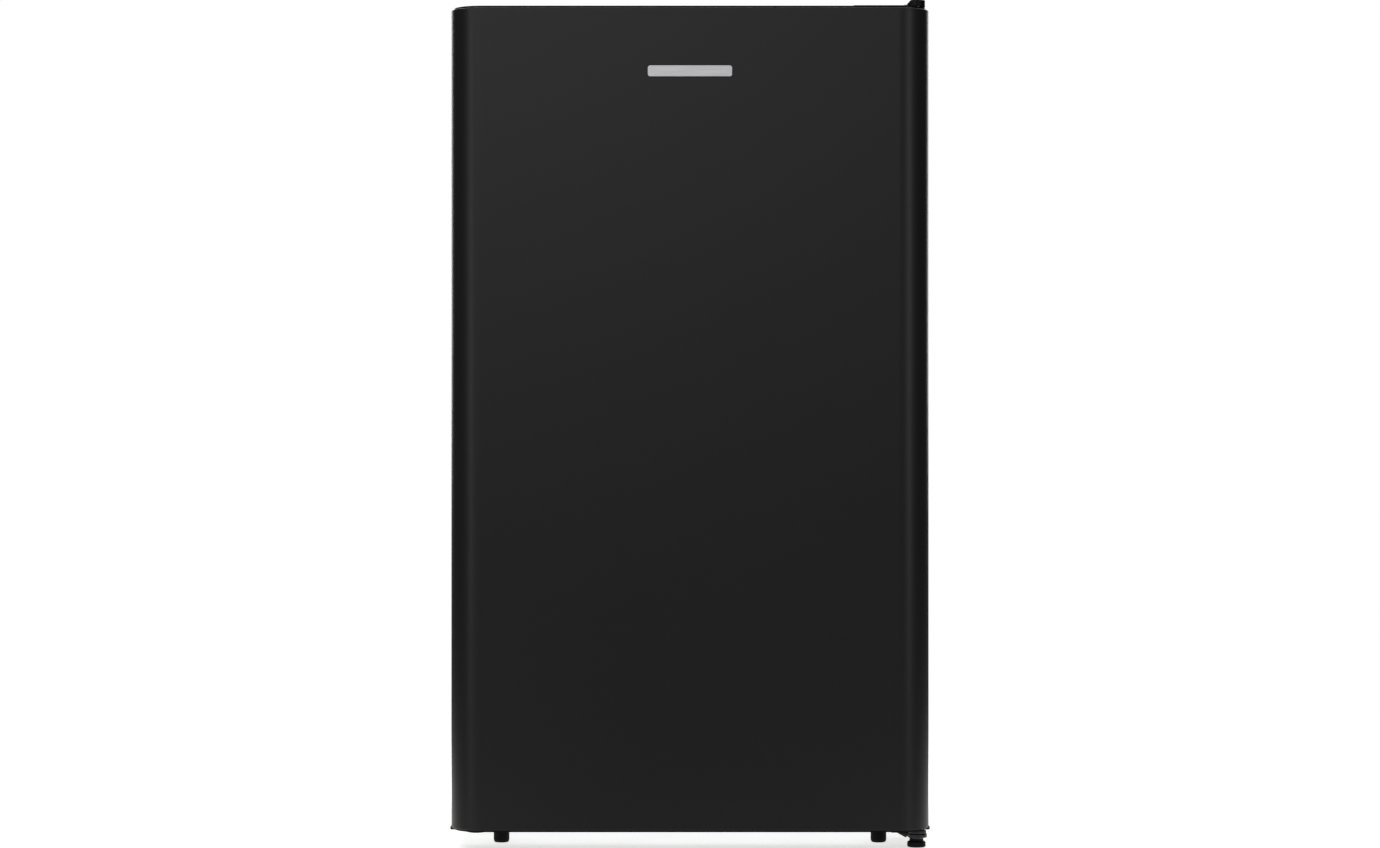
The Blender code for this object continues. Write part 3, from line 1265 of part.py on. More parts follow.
# ================================================================ cooling system
def make_compressor():
    """The sealed motor-compressor on its mounting plate, and its four rubber feet."""
    radius, base = COMPRESSOR_RADIUS, MOUNT_LOW + 1 * MM
    seam = COMPRESSOR_TOP - 58 * MM
    profile = [
        (0, base),
        (radius - 20 * MM, base),
        (radius - 6 * MM, base + 12 * MM),
        (radius, base + 28 * MM),
        (radius, seam - 3 * MM),
        (radius + 2.5 * MM, seam - 2.5 * MM),
        (radius + 2.5 * MM, seam + 2.5 * MM),
        (radius - 1 * MM, seam + 3 * MM),
        (radius - 4 * MM, COMPRESSOR_TOP - 24 * MM),
        (radius - 14 * MM, COMPRESSOR_TOP - 8 * MM),
        (radius - 30 * MM, COMPRESSOR_TOP - 1 * MM),
        (0, COMPRESSOR_TOP),
    ]
    spot = (COMPRESSOR_X, COMPRESSOR_Y, 0)
    body = turned("compressor", profile, spot, "compressor_paint", stretch=COMPRESSOR_STRETCH)
    mount_half_x = COMPRESSOR_HALF_X + MOUNT_MARGIN
    mount_outline = rounded_rectangle(
        (COMPRESSOR_X - mount_half_x, COMPRESSOR_Y - MOUNT_HALF_Y),
        (COMPRESSOR_X + mount_half_x, COMPRESSOR_Y + MOUNT_HALF_Y),
        8 * MM,
        2,
    )
    weld(body, extruded("compressor_mount", mount_outline, "Z", MOUNT_LOW, MOUNT_LOW + MOUNT_SHEET))
    seat = BASE_UNDERSIDE + CARRIER_SHEET + GAP
    neck = 5.5 * MM
    grommet = [
        (0, seat),
        (9 * MM, seat),
        (10 * MM, seat + 3 * MM),
        (9 * MM, MOUNT_LOW - GAP),
        (neck, MOUNT_LOW - GAP),
        (neck, MOUNT_LOW + MOUNT_SHEET + GAP),
        (7.5 * MM, MOUNT_LOW + MOUNT_SHEET + GAP),
        (7 * MM, MOUNT_LOW + MOUNT_SHEET + 4 * MM),
        (0, MOUNT_LOW + MOUNT_SHEET + 4 * MM),
    ]
    grommet_x = mount_half_x - GROMMET_MARGIN
    corners = [(x, y) for y in (-GROMMET_HALF_Y, GROMMET_HALF_Y) for x in (-grommet_x, grommet_x)]
    holes = []
    for index, (x, y) in enumerate(corners):
        spot = (COMPRESSOR_X + x, COMPRESSOR_Y + y, 0)
        holes.append(rod(f"grommet_hole_{index}", spot, neck + 0.5 * MM, 0, 60 * MM, steps=16))
        turned(f"grommet_{index + 1}", grommet, spot, "gasket_rubber", steps=16)
    cut(body, *holes)


def beside_can(angle, away):
    """A point round the compressor's can, seen from above, at an angle in degrees and a distance off it."""
    turn = math.radians(angle)
    return (
        COMPRESSOR_X + (COMPRESSOR_HALF_X + away) * math.cos(turn),
        COMPRESSOR_Y + (COMPRESSOR_RADIUS + away) * math.sin(turn),
    )


def make_bay_fittings():
    """The relay box, evaporating tray, filter drier, cord gland and the pipes in the compressor bay."""
    side = COMPRESSOR_X - COMPRESSOR_HALF_X
    block(
        "relay_box",
        (side - 40 * MM, COMPRESSOR_Y - 23 * MM, MOUNT_LOW + 30 * MM),
        (side - 4 * MM, COMPRESSOR_Y + 23 * MM, MOUNT_LOW + 86 * MM),
        "black_plastic",
        bevel=2 * MM,
    )
    low, high = COMPRESSOR_TOP + GAP, COMPRESSOR_TOP + EVAPORATING_TRAY
    left, right = COMPRESSOR_X - 62 * MM, COMPRESSOR_X + 62 * MM
    front, back = BAY_FRONT + 20 * MM, CABINET_BACK - 18 * MM
    tray = extruded(
        "evaporating_tray",
        rounded_rectangle((left, front), (right, back), 10 * MM, 3),
        "Z",
        low,
        high,
        "black_plastic",
    )
    wall = 2 * MM
    inside = rounded_rectangle((left + wall, front + wall), (right - wall, back - wall), 8 * MM, 3)
    cut(tray, extruded("evaporating_tray_hollow", inside, "Z", low + wall, high + 5 * MM))
    drier = [
        (0, 0),
        (2.6 * MM, 0),
        (3 * MM, 6 * MM),
        (8 * MM, 12 * MM),
        (8 * MM, 74 * MM),
        (3 * MM, 82 * MM),
        (2.6 * MM, 88 * MM),
        (0, 88 * MM),
    ]
    side = COMPRESSOR_X + COMPRESSOR_HALF_X
    drier_spot = (side + 68 * MM, CABINET_BACK - 22 * MM, BAY_TOP - SHEET - GAP - 88 * MM)
    turned("filter_drier", drier, drier_spot, "copper", steps=16)
    gland = [
        (0, -9 * MM),
        (GLAND_RADIUS - 2 * MM, -9 * MM),
        (GLAND_RADIUS, -7 * MM),
        (GLAND_RADIUS, 0),
        (12 * MM, 0),
        (12 * MM, 3 * MM),
        (9.5 * MM, 5 * MM),
        (4.5 * MM, 5 * MM),
        (4.5 * MM, -4 * MM),
        (0, -4 * MM),
    ]
    turned("cord_gland", gland, GLAND_SPOT, "black_plastic", axis="Y", steps=16)
    pipe(
        "discharge_pipe",
        smooth_route(
            [
                (side + 1 * MM, COMPRESSOR_Y - 7 * MM, BAY_TOP - 71 * MM),
                (side + 14 * MM, COMPRESSOR_Y - 7 * MM, BAY_TOP - 69 * MM),
                (side + 24 * MM, COMPRESSOR_Y + 3 * MM, BAY_TOP - 55 * MM),
                (side + 28 * MM, COMPRESSOR_Y + 28 * MM, BAY_TOP - 35 * MM),
                (side + 34 * MM, CABINET_BACK - 4 * MM, BAY_TOP - 24 * MM),
                (CONDENSER_HALF - 40 * MM, CABINET_BACK + 14 * MM, BAY_TOP - 17 * MM),
                (CONDENSER_HALF - 4 * MM, CONDENSER_Y, BAY_TOP - 4 * MM),
                (CONDENSER_HALF + 6 * MM, CONDENSER_Y, CONDENSER_LOW - 8 * MM),
            ]
        ),
        2.5 * MM,
        "compressor_paint",
        sides=1,
    )
    pipe(
        "suction_pipe",
        smooth_route(
            [
                (*beside_can(212, 1.5 * MM), BAY_TOP - 73 * MM),
                (*beside_can(212, 9 * MM), BAY_TOP - 70 * MM),
                (*beside_can(209, 26 * MM), BAY_TOP - 56 * MM),
                (*beside_can(205, 46 * MM), BAY_TOP - 44 * MM),
                (*beside_can(202, 52 * MM), BAY_TOP - 30 * MM),
                (*beside_can(202, 53 * MM), BAY_TOP - SHEET - 1 * MM),
            ]
        ),
        3.2 * MM,
        "copper",
        sides=1,
    )


def make_condenser():
    """The serpentine condenser tube and the wire grid that holds it off the back panel."""
    radius = CONDENSER_PITCH / 2
    route = []
    for index in range(CONDENSER_PASSES):
        z = CONDENSER_LOW + index * CONDENSER_PITCH
        side = -1 if index % 2 == 0 else 1
        route.append((-side * (CONDENSER_HALF - radius), z))
        if index == CONDENSER_PASSES - 1:
            route.append((side * (CONDENSER_HALF - radius), z))
            break
        bend = arc((side * (CONDENSER_HALF - radius), z + radius), radius, 270, 270 + side * 180, 6)
        route += bend[:-1]
    route[0] = (CONDENSER_HALF, CONDENSER_LOW)
    pipe(
        "condenser_coil",
        [(x, CONDENSER_Y, z) for x, z in route],
        CONDENSER_TUBE,
        "compressor_paint",
        sides=1,
    )
    back = OVERALL_DEPTH / 2
    wires, reach = 12, CONDENSER_HALF - 14 * MM
    strap_half, strap = reach + 28 * MM, 12 * MM
    low_strap, high_strap = CONDENSER_LOW + 28 * MM, CONDENSER_TOP - 32 * MM
    grid = block(
        "condenser_grid",
        (-strap_half, back - 1.8 * MM, low_strap),
        (strap_half, back - 0.1 * MM, low_strap + strap),
        "compressor_paint",
    )
    tools = [
        block(
            "grid_upper_strap",
            (-strap_half, back - 1.8 * MM, high_strap),
            (strap_half, back - 0.1 * MM, high_strap + strap),
        )
    ]
    for index in range(wires):
        x = -reach + 2 * reach * index / (wires - 1)
        tools.append(
            block(
                f"grid_wire_{index}",
                (x - CONDENSER_WIRE / 2, back - CONDENSER_WIRE, CONDENSER_LOW - 8 * MM),
                (x + CONDENSER_WIRE / 2, back, CONDENSER_TOP + 8 * MM),
            )
        )
    for side in (-1, 1):
        for word, height in (("low", low_strap), ("high", high_strap)):
            x = side * (strap_half - 1 * MM)
            tools.append(
                block(
                    f"grid_leg_{side}_{word}",
                    (x - 1.5 * MM, CABINET_BACK + GAP, height + 0.5 * MM),
                    (x + 1.5 * MM, back - 0.5 * MM, height + strap - 0.5 * MM),
                )
            )
    return weld(grid, *tools)


# ================================================================ assembly
def make_cabinet():
    """Everything that stays put, apart from the hinges and feet."""
    make_outer_shell()
    make_back_panel()
    make_base_pan()
    make_compressor_carrier()
    make_cabinet_foam()
    make_inner_liner()
    make_drain_tube()
    make_hinge_hole_cover()


def make_door():
    """The door and its three lift-off racks."""
    pieces = [
        make_door_skin(),
        make_door_cap("door_top_cap", DOOR_TOP, 1),
        cut(
            make_door_cap("door_bottom_cap", DOOR_BOTTOM, -1),
            rod("plug_bore", (PLUG_X, HINGE_Y, 0), PLUG_STEM + GAP, 0, 30 * MM, steps=20),
        ),
        make_door_foam(),
        make_door_liner(),
        make_gasket(),
        make_badge(),
        make_hole_plug(),
        *make_bushes(),
    ]
    for name, (floor, height, reach) in RACKS.items():
        make_rack(name, floor, height, reach)
    hang("door_axis", (HINGE_X, HINGE_Y, 0), pieces)


def main():
    """Builds the whole fridge in an empty scene."""
    for obj in list(bpy.data.objects):
        bpy.data.objects.remove(obj)
    make_cabinet()
    make_upper_hinge()
    make_hinge_cover()
    make_lower_hinge()
    make_feet()
    make_door()
    for name, height in SHELF_LEVELS.items():
        make_shelf(name, height)
    make_crisper()
    make_icebox()
    make_drip_tray()
    make_thermostat()
    make_compressor()
    make_bay_fittings()
    make_condenser()


main()
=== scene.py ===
"""An undercounter mini fridge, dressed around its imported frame: door, cabin, hinges, feet and cooling.

Everything is in metres, +Z up, with the door facing -Y and hinged at +X.
"""

import json
import logging
import math
from collections.abc import Callable, Sequence
from dataclasses import dataclass
from enum import Enum
from typing import Any

import bmesh
import bpy
from mathutils import Matrix, Vector

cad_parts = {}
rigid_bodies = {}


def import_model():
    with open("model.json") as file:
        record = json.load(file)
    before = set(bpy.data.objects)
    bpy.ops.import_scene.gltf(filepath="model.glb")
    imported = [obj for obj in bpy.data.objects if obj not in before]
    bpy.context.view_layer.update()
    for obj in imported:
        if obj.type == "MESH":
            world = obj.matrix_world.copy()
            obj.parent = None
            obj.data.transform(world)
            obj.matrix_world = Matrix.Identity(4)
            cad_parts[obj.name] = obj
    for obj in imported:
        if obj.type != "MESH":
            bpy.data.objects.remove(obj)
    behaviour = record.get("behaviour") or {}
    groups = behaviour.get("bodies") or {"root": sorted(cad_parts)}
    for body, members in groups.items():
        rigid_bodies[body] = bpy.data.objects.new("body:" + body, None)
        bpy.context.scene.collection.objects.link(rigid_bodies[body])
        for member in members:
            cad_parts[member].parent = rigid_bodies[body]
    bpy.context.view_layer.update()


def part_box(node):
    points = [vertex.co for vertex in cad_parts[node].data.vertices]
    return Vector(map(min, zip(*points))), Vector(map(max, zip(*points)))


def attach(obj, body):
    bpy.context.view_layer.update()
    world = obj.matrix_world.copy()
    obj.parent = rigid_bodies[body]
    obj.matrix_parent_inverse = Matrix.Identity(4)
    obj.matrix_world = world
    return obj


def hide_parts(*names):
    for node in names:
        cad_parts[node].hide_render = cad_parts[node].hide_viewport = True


MM = 0.001
SMOOTH_BELOW = math.radians(38)  # edges that turn less than this shade smoothly
FLAT_WITHIN = math.radians(0.4)  # neighbouring faces that turn less than this are one flat face
FLAT = 0.99  # a normal's share along an axis, from which a face counts as square to it
TOUCH = 1e-5  # metres within which two heights are the same
MERGE = 1e-6  # metres within which two new points are one
WELD = 0.005 * MM  # the same, for the corners of the frame's solids
FONT_OVER_FIGURE = 1.4  # a font's size over the height of its figures

log = logging.getLogger("fridge")


class Axis(Enum):
    """A direction of the fridge's frame."""

    X = 0
    Y = 1
    Z = 2


class Body(Enum):
    """The fridge's moving bodies."""

    CABINET = "cabinet"
    DOOR = "door"
    BOTTLE_RACK = "bottle_rack"
    MIDDLE_RACK = "middle_rack"
    TOP_RACK = "top_rack"
    FLAP = "icebox_flap"
    DRIP_TRAY = "drip_tray"
    CRISPER = "crisper_drawer"
    LOWER_SHELF = "lower_shelf"
    UPPER_SHELF = "upper_shelf"
    KNOB = "thermostat_knob"
    FOOT_LEFT = "front_foot_left"
    FOOT_RIGHT = "front_foot_right"
    HINGE_FOOT = "hinge_foot"


class Colour(Enum):
    """The fridge's colours, as sRGB hex."""

    CHARCOAL = "#1c1c1c"
    CHARCOAL_LIGHT = "#1e1e1f"
    SOOT = "#0e0e0f"
    INK = "#090909"
    MILK = "#eef0f0"
    MILK_SHADE = "#e6e9ea"
    ICE = "#f8fbfc"
    ICE_SHADE = "#f1f7f8"
    PALE_GREEN = "#eef7f3"
    BOTTLE_GREEN = "#5fa58c"
    BOTTLE_GREEN_DEEP = "#51977e"
    ZINC = "#b4b4b0"
    ZINC_WARM = "#9f9a8c"
    GALVANISED = "#aeb2b5"
    GALVANISED_DARK = "#868b8f"
    ALUMINIUM = "#cdd0d2"
    ALUMINIUM_DARK = "#b0b5b8"
    SILVER = "#d2d2d4"
    SILVER_DARK = "#a2a2a6"
    COPPER = "#c07a58"
    COPPER_TARNISHED = "#8a4f38"
    STRAW = "#dcc88f"
    STRAW_DARK = "#bfa163"
    BLACK_ZINC = "#3a3a3c"
    BLACK_ZINC_BLUE = "#2c2e33"
    RUBBER = "#202021"
    RUBBER_BLOOM = "#2b2b2c"
    FROSTED = "#f2f0e6"
    FROSTED_SHADE = "#e6e3d6"
    PAPER = "#f4f4f2"
    PAPER_SHADE = "#efefed"
    DIAL_GREY = "#5b6166"
    DIAL_GREY_WORN = "#6f757a"


def linear(colour: Colour) -> tuple[float, float, float, float]:
    """Turns an sRGB hex colour to linear red, green and blue, with an alpha of 1."""
    channels = [int(colour.value[i : i + 2], 16) / 255 for i in (1, 3, 5)]
    red, green, blue = (c / 12.92 if c <= 0.04045 else ((c + 0.055) / 1.055) ** 2.4 for c in channels)
    return red, green, blue, 1.0


def add_node(
    tree: bpy.types.NodeTree,
    kind: str,
    inputs: dict[str | int, Any] | None = None,
    **settings: Any,
) -> bpy.types.Node:
    """Adds one node with its settings and links.

    Args:
        tree: The node tree.
        kind: The node's type, such as ShaderNodeTexNoise.
        inputs: For each input socket, a value, or the output socket that feeds it.
        settings: The node's own properties.

    Returns:
        The node.
    """
    node = tree.nodes.new(kind)
    for key, value in settings.items():
        setattr(node, key, value)
    for key, value in (inputs or {}).items():
        if isinstance(value, bpy.types.NodeSocket):
            tree.links.new(value, node.inputs[key])
        else:
            node.inputs[key].default_value = value
    return node


# ================================================================ finishes
@dataclass(frozen=True)
class Finish:
    """A material that starts from what the real one is, with a mottle of colour and gloss, and a grain.

    The mottle is slow noise that keeps a wide panel from looking drawn. The grain is the fine surface left by
    the way it was made.
    """

    name: str
    colour: Colour
    shade: Colour
    roughness: float
    ior: float = 1.5
    metallic: float = 0.0
    grain_mm: float = 1.2
    grain_depth_mm: float = 0.02
    mottle_mm: float = 60.0
    gloss_spread: float = 0.05
    specular: float = 0.5
    transmission: float = 0.0
    coat: float = 0.0
    anisotropic: float = 0.0
    stretch: tuple[float, float, float] = (1.0, 1.0, 1.0)

    def material(self) -> bpy.types.Material:
        """Returns the material, made the first time it is asked for."""
        made = bpy.data.materials.get(self.name)
        if made is None:
            made = bpy.data.materials.new(self.name)
            made.use_nodes = True
            tree = made.node_tree
            self.dress(tree, tree.nodes["Principled BSDF"])
        return made

    def set_body(self, shader: bpy.types.Node) -> None:
        """Sets the values that are the same all over the surface on the shader's own sockets."""
        shader.inputs["Metallic"].default_value = self.metallic
        shader.inputs["IOR"].default_value = self.ior
        shader.inputs["Specular IOR Level"].default_value = self.specular
        shader.inputs["Transmission Weight"].default_value = self.transmission
        shader.inputs["Coat Weight"].default_value = self.coat
        shader.inputs["Anisotropic"].default_value = self.anisotropic

    def colour_field(self, tree: bpy.types.NodeTree, spot: bpy.types.NodeSocket) -> bpy.types.NodeSocket:
        """Returns the value from 0 to 1 that runs the surface from its colour to its shade."""
        noise = {"Vector": spot, "Scale": 1 / (self.mottle_mm * MM), "Detail": 3.0, "Roughness": 0.55}
        return add_node(tree, "ShaderNodeTexNoise", noise).outputs["Fac"]

    def height_field(self, tree: bpy.types.NodeTree, spot: bpy.types.NodeSocket) -> bpy.types.NodeSocket:
        """Returns the fine relief of the surface, from 0 to 1."""
        noise = {"Vector": spot, "Scale": 1 / (self.grain_mm * MM), "Detail": 2.0, "Roughness": 0.5}
        return add_node(tree, "ShaderNodeTexNoise", noise).outputs["Fac"]

    def dress(self, tree: bpy.types.NodeTree, shader: bpy.types.Node) -> None:
        """Links the mottle, the gloss and the grain to the shader.

        Args:
            tree: The material's nodes.
            shader: Its Principled BSDF.
        """
        self.set_body(shader)
        spot = add_node(tree, "ShaderNodeTexCoord").outputs["Object"]
        if self.stretch != (1.0, 1.0, 1.0):
            mapping = add_node(tree, "ShaderNodeMapping", {"Vector": spot, "Scale": self.stretch})
            spot = mapping.outputs["Vector"]
        field = self.colour_field(tree, spot)
        ends = {0: field, 6: linear(self.colour), 7: linear(self.shade)}
        blend = add_node(tree, "ShaderNodeMix", ends, data_type="RGBA")
        tree.links.new(blend.outputs[2], shader.inputs["Base Color"])
        low, high = self.roughness - self.gloss_spread, self.roughness + self.gloss_spread
        gloss = add_node(tree, "ShaderNodeMapRange", {"Value": field, "To Min": low, "To Max": high})
        tree.links.new(gloss.outputs["Result"], shader.inputs["Roughness"])
        relief = {"Height": self.height_field(tree, spot), "Distance": self.grain_depth_mm * MM}
        bump = add_node(tree, "ShaderNodeBump", relief)
        tree.links.new(bump.outputs["Normal"], shader.inputs["Normal"])


@dataclass(frozen=True)
class CellFinish(Finish):
    """A finish whose pattern is made of cells: zinc's spangle, or the bubbles of a foam."""

    cell_mm: float = 8.0

    def colour_field(self, tree: bpy.types.NodeTree, spot: bpy.types.NodeSocket) -> bpy.types.NodeSocket:
        """Gives each cell a tone of its own."""
        cells = add_node(tree, "ShaderNodeTexVoronoi", {"Vector": spot, "Scale": 1 / (self.cell_mm * MM)})
        return add_node(tree, "ShaderNodeSeparateColor", {"Color": cells.outputs["Color"]}).outputs["Red"]

    def height_field(self, tree: bpy.types.NodeTree, spot: bpy.types.NodeSocket) -> bpy.types.NodeSocket:
        """Raises the middle or the rim of each cell."""
        scale = 1 / (self.grain_mm * MM)
        return add_node(tree, "ShaderNodeTexVoronoi", {"Vector": spot, "Scale": scale}).outputs["Distance"]


# Polyester powder coat on drawn steel: satin charcoal, with the faint orange peel that the oven leaves.
PAINT = Finish(
    "charcoal_powder_coat",
    Colour.CHARCOAL,
    Colour.CHARCOAL_LIGHT,
    roughness=0.40,
    specular=0.25,
    grain_mm=2.4,
    grain_depth_mm=0.0035,
    gloss_spread=0.012,
    mottle_mm=240,
)
# ABS moulded against a spark-eroded tool: an even dull black with a fine stipple.
BLACK_ABS = Finish(
    "black_moulded_abs",
    Colour.INK,
    Colour.SOOT,
    roughness=0.5,
    ior=1.53,
    specular=0.12,
    grain_mm=0.9,
    grain_depth_mm=0.02,
)
# Polypropylene, moulded: waxier and a little greyer than the ABS.
BLACK_PP = Finish(
    "black_moulded_polypropylene",
    Colour.INK,
    Colour.SOOT,
    roughness=0.55,
    ior=1.49,
    specular=0.12,
    grain_mm=1.4,
    grain_depth_mm=0.03,
)
# Vacuum-formed polystyrene: soft gloss, with the slow ripple of a sheet that was drawn over a mould.
WHITE_LINER = Finish(
    "white_vacuum_formed_polystyrene",
    Colour.MILK,
    Colour.MILK_SHADE,
    roughness=0.30,
    ior=1.59,
    grain_mm=14,
    grain_depth_mm=0.05,
    mottle_mm=160,
)
# The same plastic, injection-moulded: flatter, with a fine satin.
WHITE_MOULDED = Finish(
    "white_moulded_polystyrene",
    Colour.MILK,
    Colour.MILK_SHADE,
    roughness=0.36,
    ior=1.59,
    grain_mm=1.0,
    grain_depth_mm=0.012,
)
# Clear polystyrene: glassy, with slight flow waves from the gate.
CLEAR_PLASTIC = Finish(
    "clear_moulded_polystyrene",
    Colour.ICE,
    Colour.ICE_SHADE,
    roughness=0.09,
    ior=1.59,
    transmission=0.92,
    grain_mm=22,
    grain_depth_mm=0.05,
    gloss_spread=0.03,
)
# Toughened float glass: almost clear on its face.
GLASS = Finish(
    "toughened_float_glass",
    Colour.PALE_GREEN,
    Colour.ICE,
    roughness=0.03,
    ior=1.52,
    transmission=0.95,
    grain_mm=120,
    grain_depth_mm=0.03,
    gloss_spread=0.01,
)
# Its ground edge, where the iron in the glass shows green.
GLASS_EDGE = Finish(
    "ground_glass_edge",
    Colour.BOTTLE_GREEN,
    Colour.BOTTLE_GREEN_DEEP,
    roughness=0.4,
    ior=1.52,
    transmission=0.45,
    grain_mm=0.8,
    grain_depth_mm=0.03,
)
# Rigid polyurethane foamed in place: straw-coloured, closed cells of about a millimetre.
FOAM = CellFinish(
    "rigid_polyurethane_foam",
    Colour.STRAW,
    Colour.STRAW_DARK,
    roughness=0.85,
    grain_mm=1.1,
    grain_depth_mm=0.4,
    cell_mm=2.2,
)
# Hot-dip galvanised sheet: a grey spangle of zinc crystals.
GALVANISED = CellFinish(
    "hot_dip_galvanised_sheet",
    Colour.GALVANISED,
    Colour.GALVANISED_DARK,
    roughness=0.42,
    metallic=0.9,
    grain_mm=9,
    grain_depth_mm=0.03,
    gloss_spread=0.09,
    cell_mm=9,
)
# Zinc electroplate with a clear passivate: bright, slightly warm, with draw marks.
ZINC_PLATE = Finish(
    "zinc_electroplate",
    Colour.ZINC,
    Colour.ZINC_WARM,
    roughness=0.30,
    metallic=1.0,
    grain_mm=0.8,
    grain_depth_mm=0.01,
    mottle_mm=12,
    gloss_spread=0.08,
)
# Roll-bond aluminium: mill finish, with the rolling direction front to back.
ALUMINIUM = Finish(
    "roll_bond_aluminium",
    Colour.ALUMINIUM,
    Colour.ALUMINIUM_DARK,
    roughness=0.34,
    metallic=1.0,
    grain_mm=1.5,
    grain_depth_mm=0.02,
    mottle_mm=24,
    gloss_spread=0.07,
    stretch=(1.0, 0.06, 1.0),
)
# Plasticised PVC, extruded: dull charcoal with a slight bloom.
SEAL_PVC = Finish(
    "extruded_seal_pvc",
    Colour.RUBBER,
    Colour.RUBBER_BLOOM,
    roughness=0.58,
    ior=1.53,
    grain_mm=1.0,
    grain_depth_mm=0.02,
    mottle_mm=40,
)
# Moulded nitrile rubber.
RUBBER = Finish(
    "moulded_rubber", Colour.RUBBER, Colour.INK, roughness=0.66, ior=1.52, grain_mm=1.3, grain_depth_mm=0.05
)
# Black baked enamel, dipped on: glossier than powder coat, with sags.
BLACK_ENAMEL = Finish(
    "black_baked_enamel",
    Colour.INK,
    Colour.SOOT,
    roughness=0.28,
    grain_mm=9,
    grain_depth_mm=0.12,
    gloss_spread=0.06,
    coat=0.2,
)
# Drawn copper tube, tarnished in patches by the brazing flame.
COPPER = Finish(
    "drawn_copper_tube",
    Colour.COPPER,
    Colour.COPPER_TARNISHED,
    roughness=0.32,
    metallic=1.0,
    grain_mm=2,
    grain_depth_mm=0.01,
    mottle_mm=11,
    gloss_spread=0.1,
)
# Nylon filled with graphite, moulded: black and slightly waxy.
BLACK_NYLON = Finish(
    "graphite_nylon", Colour.SOOT, Colour.INK, roughness=0.42, ior=1.53, grain_mm=1.2, grain_depth_mm=0.015
)
# Steel with a black zinc passivate: dark, with a cold sheen on its edges.
BLACK_ZINC = Finish(
    "black_zinc_passivate",
    Colour.BLACK_ZINC,
    Colour.BLACK_ZINC_BLUE,
    roughness=0.38,
    metallic=0.7,
    grain_mm=0.9,
    grain_depth_mm=0.012,
    mottle_mm=14,
    gloss_spread=0.07,
)
# Anodised aluminium foil with a brush along its length, under a clear lacquer.
BRUSHED_BADGE = Finish(
    "brushed_anodised_aluminium",
    Colour.SILVER,
    Colour.SILVER_DARK,
    roughness=0.34,
    metallic=0.6,
    grain_mm=0.35,
    grain_depth_mm=0.01,
    mottle_mm=0.8,
    gloss_spread=0.05,
    anisotropic=0.5,
    stretch=(0.02, 1.0, 1.0),
)
# The bulb's etched glass.
BULB_GLASS = Finish(
    "etched_bulb_glass",
    Colour.FROSTED,
    Colour.FROSTED_SHADE,
    roughness=0.45,
    ior=1.52,
    transmission=0.5,
    grain_mm=0.5,
    grain_depth_mm=0.02,
)
# Pad-printed ink for the dial's numbers.
DIAL_INK = Finish("grey_dial_ink", Colour.DIAL_GREY, Colour.DIAL_GREY_WORN, roughness=0.6, grain_mm=0.5)


